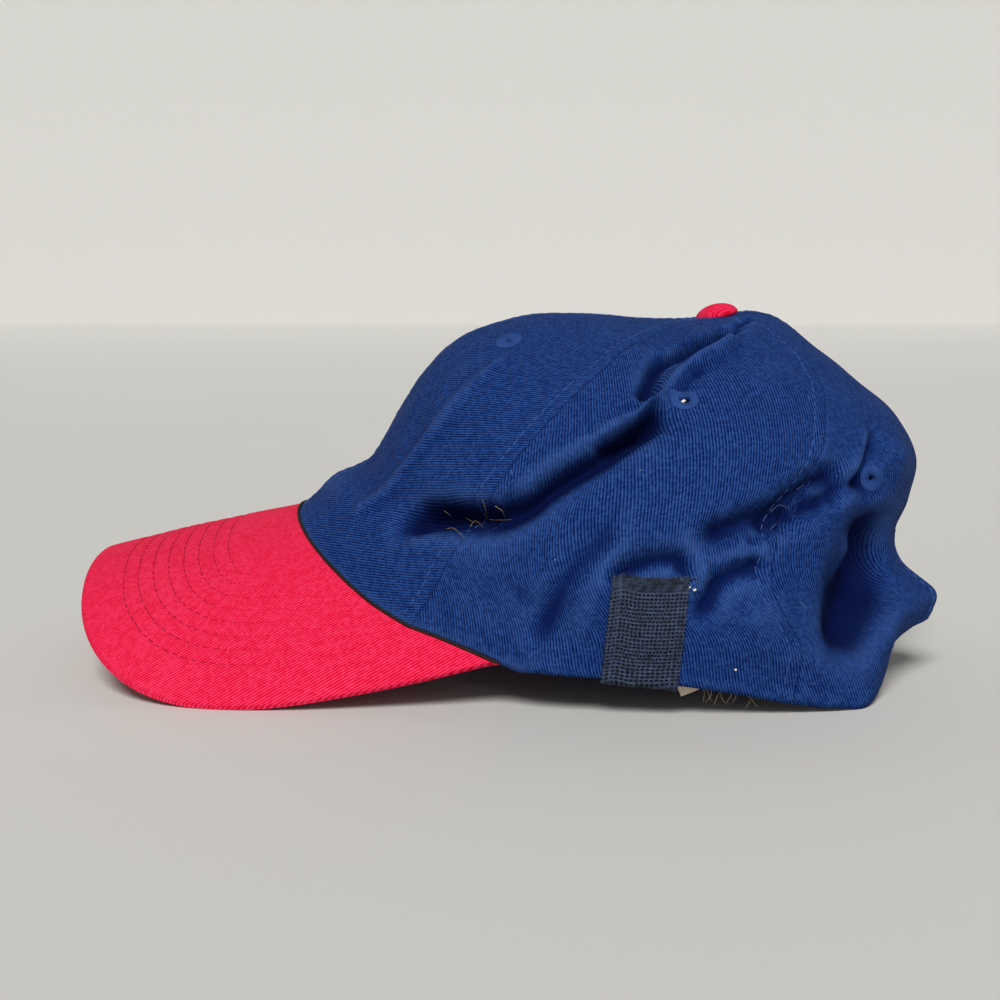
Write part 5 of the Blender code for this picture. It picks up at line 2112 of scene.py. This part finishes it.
# Cells across a panel and the distance between its rows
PANEL_CELLS = {Side.LEFT: (100, 0.72 * MM), Side.RIGHT: (46, 1.3 * MM)}
PANEL_HOLE = 2.1 * MM
# The shade colours are painted shade deep in the folds
NAVY: dict[str, Colour] = {
    "deep": (0.0006, 0.007, 0.066),
    "face": (0.018, 0.065, 0.245),
    "worn": (0.043, 0.102, 0.312),
    "shade": (0.0002, 0.0032, 0.040),
}
RED: dict[str, Colour] = {
    "deep": (0.66, 0.000, 0.018),
    "face": (0.88, 0.036, 0.128),
    "worn": (0.88, 0.064, 0.145),
    "shade": (0.35, 0.001, 0.015),
}
THREADS = (
    Thread("blue_thread", (0.018, 0.055, 0.210), (0.075, 0.150, 0.420)),
    Thread("navy_thread", (0.004, 0.018, 0.100), (0.014, 0.054, 0.240)),
    Thread("ring_thread", (0.003, 0.017, 0.095), (0.034, 0.095, 0.330)),
    # The red thread's dark and light colours are painted shade at the visor's front; the last is its own
    # colour
    Thread("red_thread", (0.16, 0.000, 0.004), (0.36, 0.001, 0.014), behind=(0.80, 0.006, 0.055)),
    Thread("dark_cord", (0.006, 0.004, 0.003), (0.035, 0.022, 0.016)),
    Thread("brown_fibre", (0.22, 0.14, 0.07), (0.50, 0.38, 0.24)),
    Thread("blue_fibre", (0.08, 0.14, 0.30), (0.22, 0.32, 0.55)),
    Thread("pale_fibre", (0.70, 0.68, 0.62), (0.90, 0.88, 0.84)),
    Thread("loop_thread", (0.012, 0.018, 0.035), (0.10, 0.13, 0.20)),
)
# The elastic's dark colour is painted shade in the weave's gaps, and the tone of its dimmer yarns
ELASTIC = Elastic("elastic", (0.0010, 0.0018, 0.0045), (0.052, 0.078, 0.150), 1900.0, 700.0, 0.15 * MM)
LABEL_TAPE = Tape("label_tape", (0.50, 0.38, 0.27), (0.78, 0.66, 0.53), 3125.0, 300.0, 0.06 * MM)
STRAP_PLASTIC = Moulded(
    "navy_plastic", (0.010, 0.018, 0.060), (0.040, 0.055, 0.110), 2400.0, 160.0, 0.05 * MM
)
EYELETS = (
    Eyelet("front", 26.75, 0.557, hole=0.65 * MM),
    Eyelet("side", 84.5, 0.600),
    Eyelet("back", 138.5, 0.450, outer=3.7 * MM, hole=0.8 * MM),
)
# Points of the curled end from the edge's last point, in millimetres
CURLED_END = ((-0.2, -1.0, -0.8), (0.3, 0.6, 0.2), (0.7, 1.7, 0.1), (0.6, 2.1, -0.9), (0.3, 1.2, -1.3))

# Loose fibres on the left of the crown: panel angle and share of their points
BROWN_HAIRS: Table = (
    ((48.0, 0.243), (48.7, 0.245), (49.0, 0.238)),
    ((58.6, 0.300), (58.8, 0.288), (57.7, 0.263)),
    ((52.3, 0.249), (55.0, 0.244), (56.9, 0.251)),
    ((58.0, 0.266), (61.3, 0.272), (64.8, 0.288)),
    ((53.0, 0.219), (55.2, 0.224), (60.2, 0.225)),
    ((56.4, 0.239), (55.2, 0.253), (59.4, 0.250)),
    ((61.0, 0.301), (62.5, 0.301), (62.6, 0.286)),
)
PALE_HAIRS: Table = (
    ((60.8, 0.370), (61.9, 0.361)),
    ((117.5, 0.360), (118.1, 0.378), (120.7, 0.371)),
    ((120.3, 0.414), (121.7, 0.428)),
    ((120.1, 0.335), (118.9, 0.321)),
    ((113.9, 0.628), (114.4, 0.611)),
    ((124.9, 0.185), (125.3, 0.170)),
    ((104.8, 0.023), (105.3, 0.015)),
)
# Bits of lint: panel angle, share and size in millimetres
LINT: Table = (
    (104.6, 0.212, 0.42),
    (105.4, 0.207, 0.46),
    (108.8, 0.049, 0.36),
    (80.2, 0.238, 0.14),
    (84.7, 0.436, 0.12),
    (84.3, 0.597, 0.60),
)
# Panel angles of the frayed ends that hang inside the left hem
FRAYED_ANGLES = (104.9, 105.6, 106.0, 106.8, 107.7, 108.8, 109.6, 111.3, 113.0, 126.0)


Finishes = dict[str, Material]


def scatter_fibres(form: CrownForm, finishes: Finishes) -> None:
    """Lays fibres and lint on the crown and hangs frayed ends inside its left hem.

    Args:
        form: The crown's form.
        finishes: The threads' materials.
    """
    draw = np.random.default_rng(17)
    hairs = LooseThreads("brown_hairs", finishes["brown_fibre"], "crown_twill")
    for places in BROWN_HAIRS:
        hairs.lay(form, places, 0.07 * MM, 0.6 * MM)
    for angle in FRAYED_ANGLES:
        hem = form.at(angle, 0.0, Side.LEFT)
        drop = min(draw.uniform(2.4, 4.2) * MM, float(hem[2]) - 0.3 * MM)
        start = hem + np.array([-1.7 * MM, 0.0, 0.8 * MM])
        sway = draw.normal(size=(3, 3)) * [0.3 * MM, 0.8 * MM, 0.15 * MM]
        falls = np.array([0.0, 0.45, 1.0])[:, None] * np.array([0.0, 0.0, -drop - 0.8 * MM])
        hairs.strand(np.concatenate([start[None], start + falls + sway]), 0.07 * MM)
    hairs.build()
    light = LooseThreads("pale_hairs", finishes["blue_fibre"], "crown_twill")
    for places in PALE_HAIRS:
        light.lay(form, places, 0.05 * MM, 0.1 * MM)
    light.build()
    lint = Specks("lint", finishes["pale_fibre"], "crown_twill")
    lint.scatter(form, LINT)
    lint.build()


def packed_move(visor: VisorForm) -> Array:
    """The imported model's place against the tables' X and Y, read from the visor's box."""
    low, high = np.array(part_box("visor"))
    return np.array([(low[0] + high[0]) / 2, low[1] - (visor.widest - visor.reach), 0.0])


def build_crown(form: CrownForm, finishes: Finishes) -> BVHTree:
    """Makes the six panels with their eyelets, and sews their seams and hem.

    Args:
        form: The crown's form.
        finishes: The threads' materials.

    Returns:
        The faces of the left side panel.
    """
    twill = {key: Twill(f"navy_twill_{key}", **NAVY, lean=lean).build() for key, lean in PANEL_LEAN.items()}
    sewn: dict[tuple[str, Side], tuple[CrownPanel, BVHTree]] = {}
    for side in Side:
        for eyelet in EYELETS:
            name = eyelet.panel
            panel = CrownPanel(form, side, name, *PANEL_SPAN[name], *PANEL_CELLS[side])
            tree = surface_tree(panel.build(eyelet.axes(form, side)[0], PANEL_HOLE, twill[name]))
            eyelet.build(form, side, tree, finishes["ring_thread"])
            sewn[name, side] = (panel, tree)
            LOG.info("%s panel and eyelet, %s", name, side.name.lower())
    draw = np.random.default_rng(5)
    for side in Side:
        ending = side.name.lower()
        seams = Stitching(f"seam_stitches_{ending}", finishes["blue_thread"], "eyelet_thread")
        hems = Stitching(f"hem_stitches_{ending}", finishes["navy_thread"], "crown_twill")
        for name in PANEL_SPAN:
            panel, tree = sewn[name, side]
            for at_last in (False, True):
                sewing = seams if at_last or name == "front" else hems
                sewing.row(panel.seam_line(at_last), tree, 0.06 * MM, draw)
            hems.row(panel.hem_line(), tree, 0.05 * MM, draw)
        seams.build()
        hems.build()
        LOG.info("crown stitches, %s", ending)
    return sewn["side", Side.LEFT][1]


def main() -> None:
    """Builds every sub-assembly in order and reports each one."""
    logging.basicConfig(level=logging.INFO, format="%(message)s")
    visor_form = VisorForm()
    move = packed_move(visor_form)
    form = CrownForm(visor_form, move=move)
    finishes = {thread.name: thread.build() for thread in THREADS}
    red = Twill("red_twill", **RED, lean=23.0, pitch=0.85 * MM).build()
    side_tree = build_crown(form, finishes)

    visor = Visor(visor_form, form)
    piece = visor.build(red)
    visor.piping(finishes["dark_cord"])
    visor.sew(piece, finishes["red_thread"])
    LOG.info("visor with its cord and stitches")

    top = form.section(np.array(0.0), np.array(1.0)) + move
    Button(top, float(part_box("crown_button")[1][2])).build(red)
    LOG.info("button")

    angle = np.linspace(80, 116, 200)
    loop = SideLoop(side_tree, form.outer(angle, np.zeros_like(angle), Side.LEFT), move)
    edge = loop.build(ELASTIC.build())
    loop.fray(edge, finishes["loop_thread"])
    LOG.info("side loop")

    CareLabel(float(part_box("care_label")[1][0]), move).build(LABEL_TAPE.build())
    RearStrap().build(STRAP_PLASTIC.build())
    LOG.info("label and strap")

    scatter_fibres(form, finishes)
    LOG.info("fibres and lint")

    Studio(tuple(move)).build()


if __name__ == "__main__":
    main()
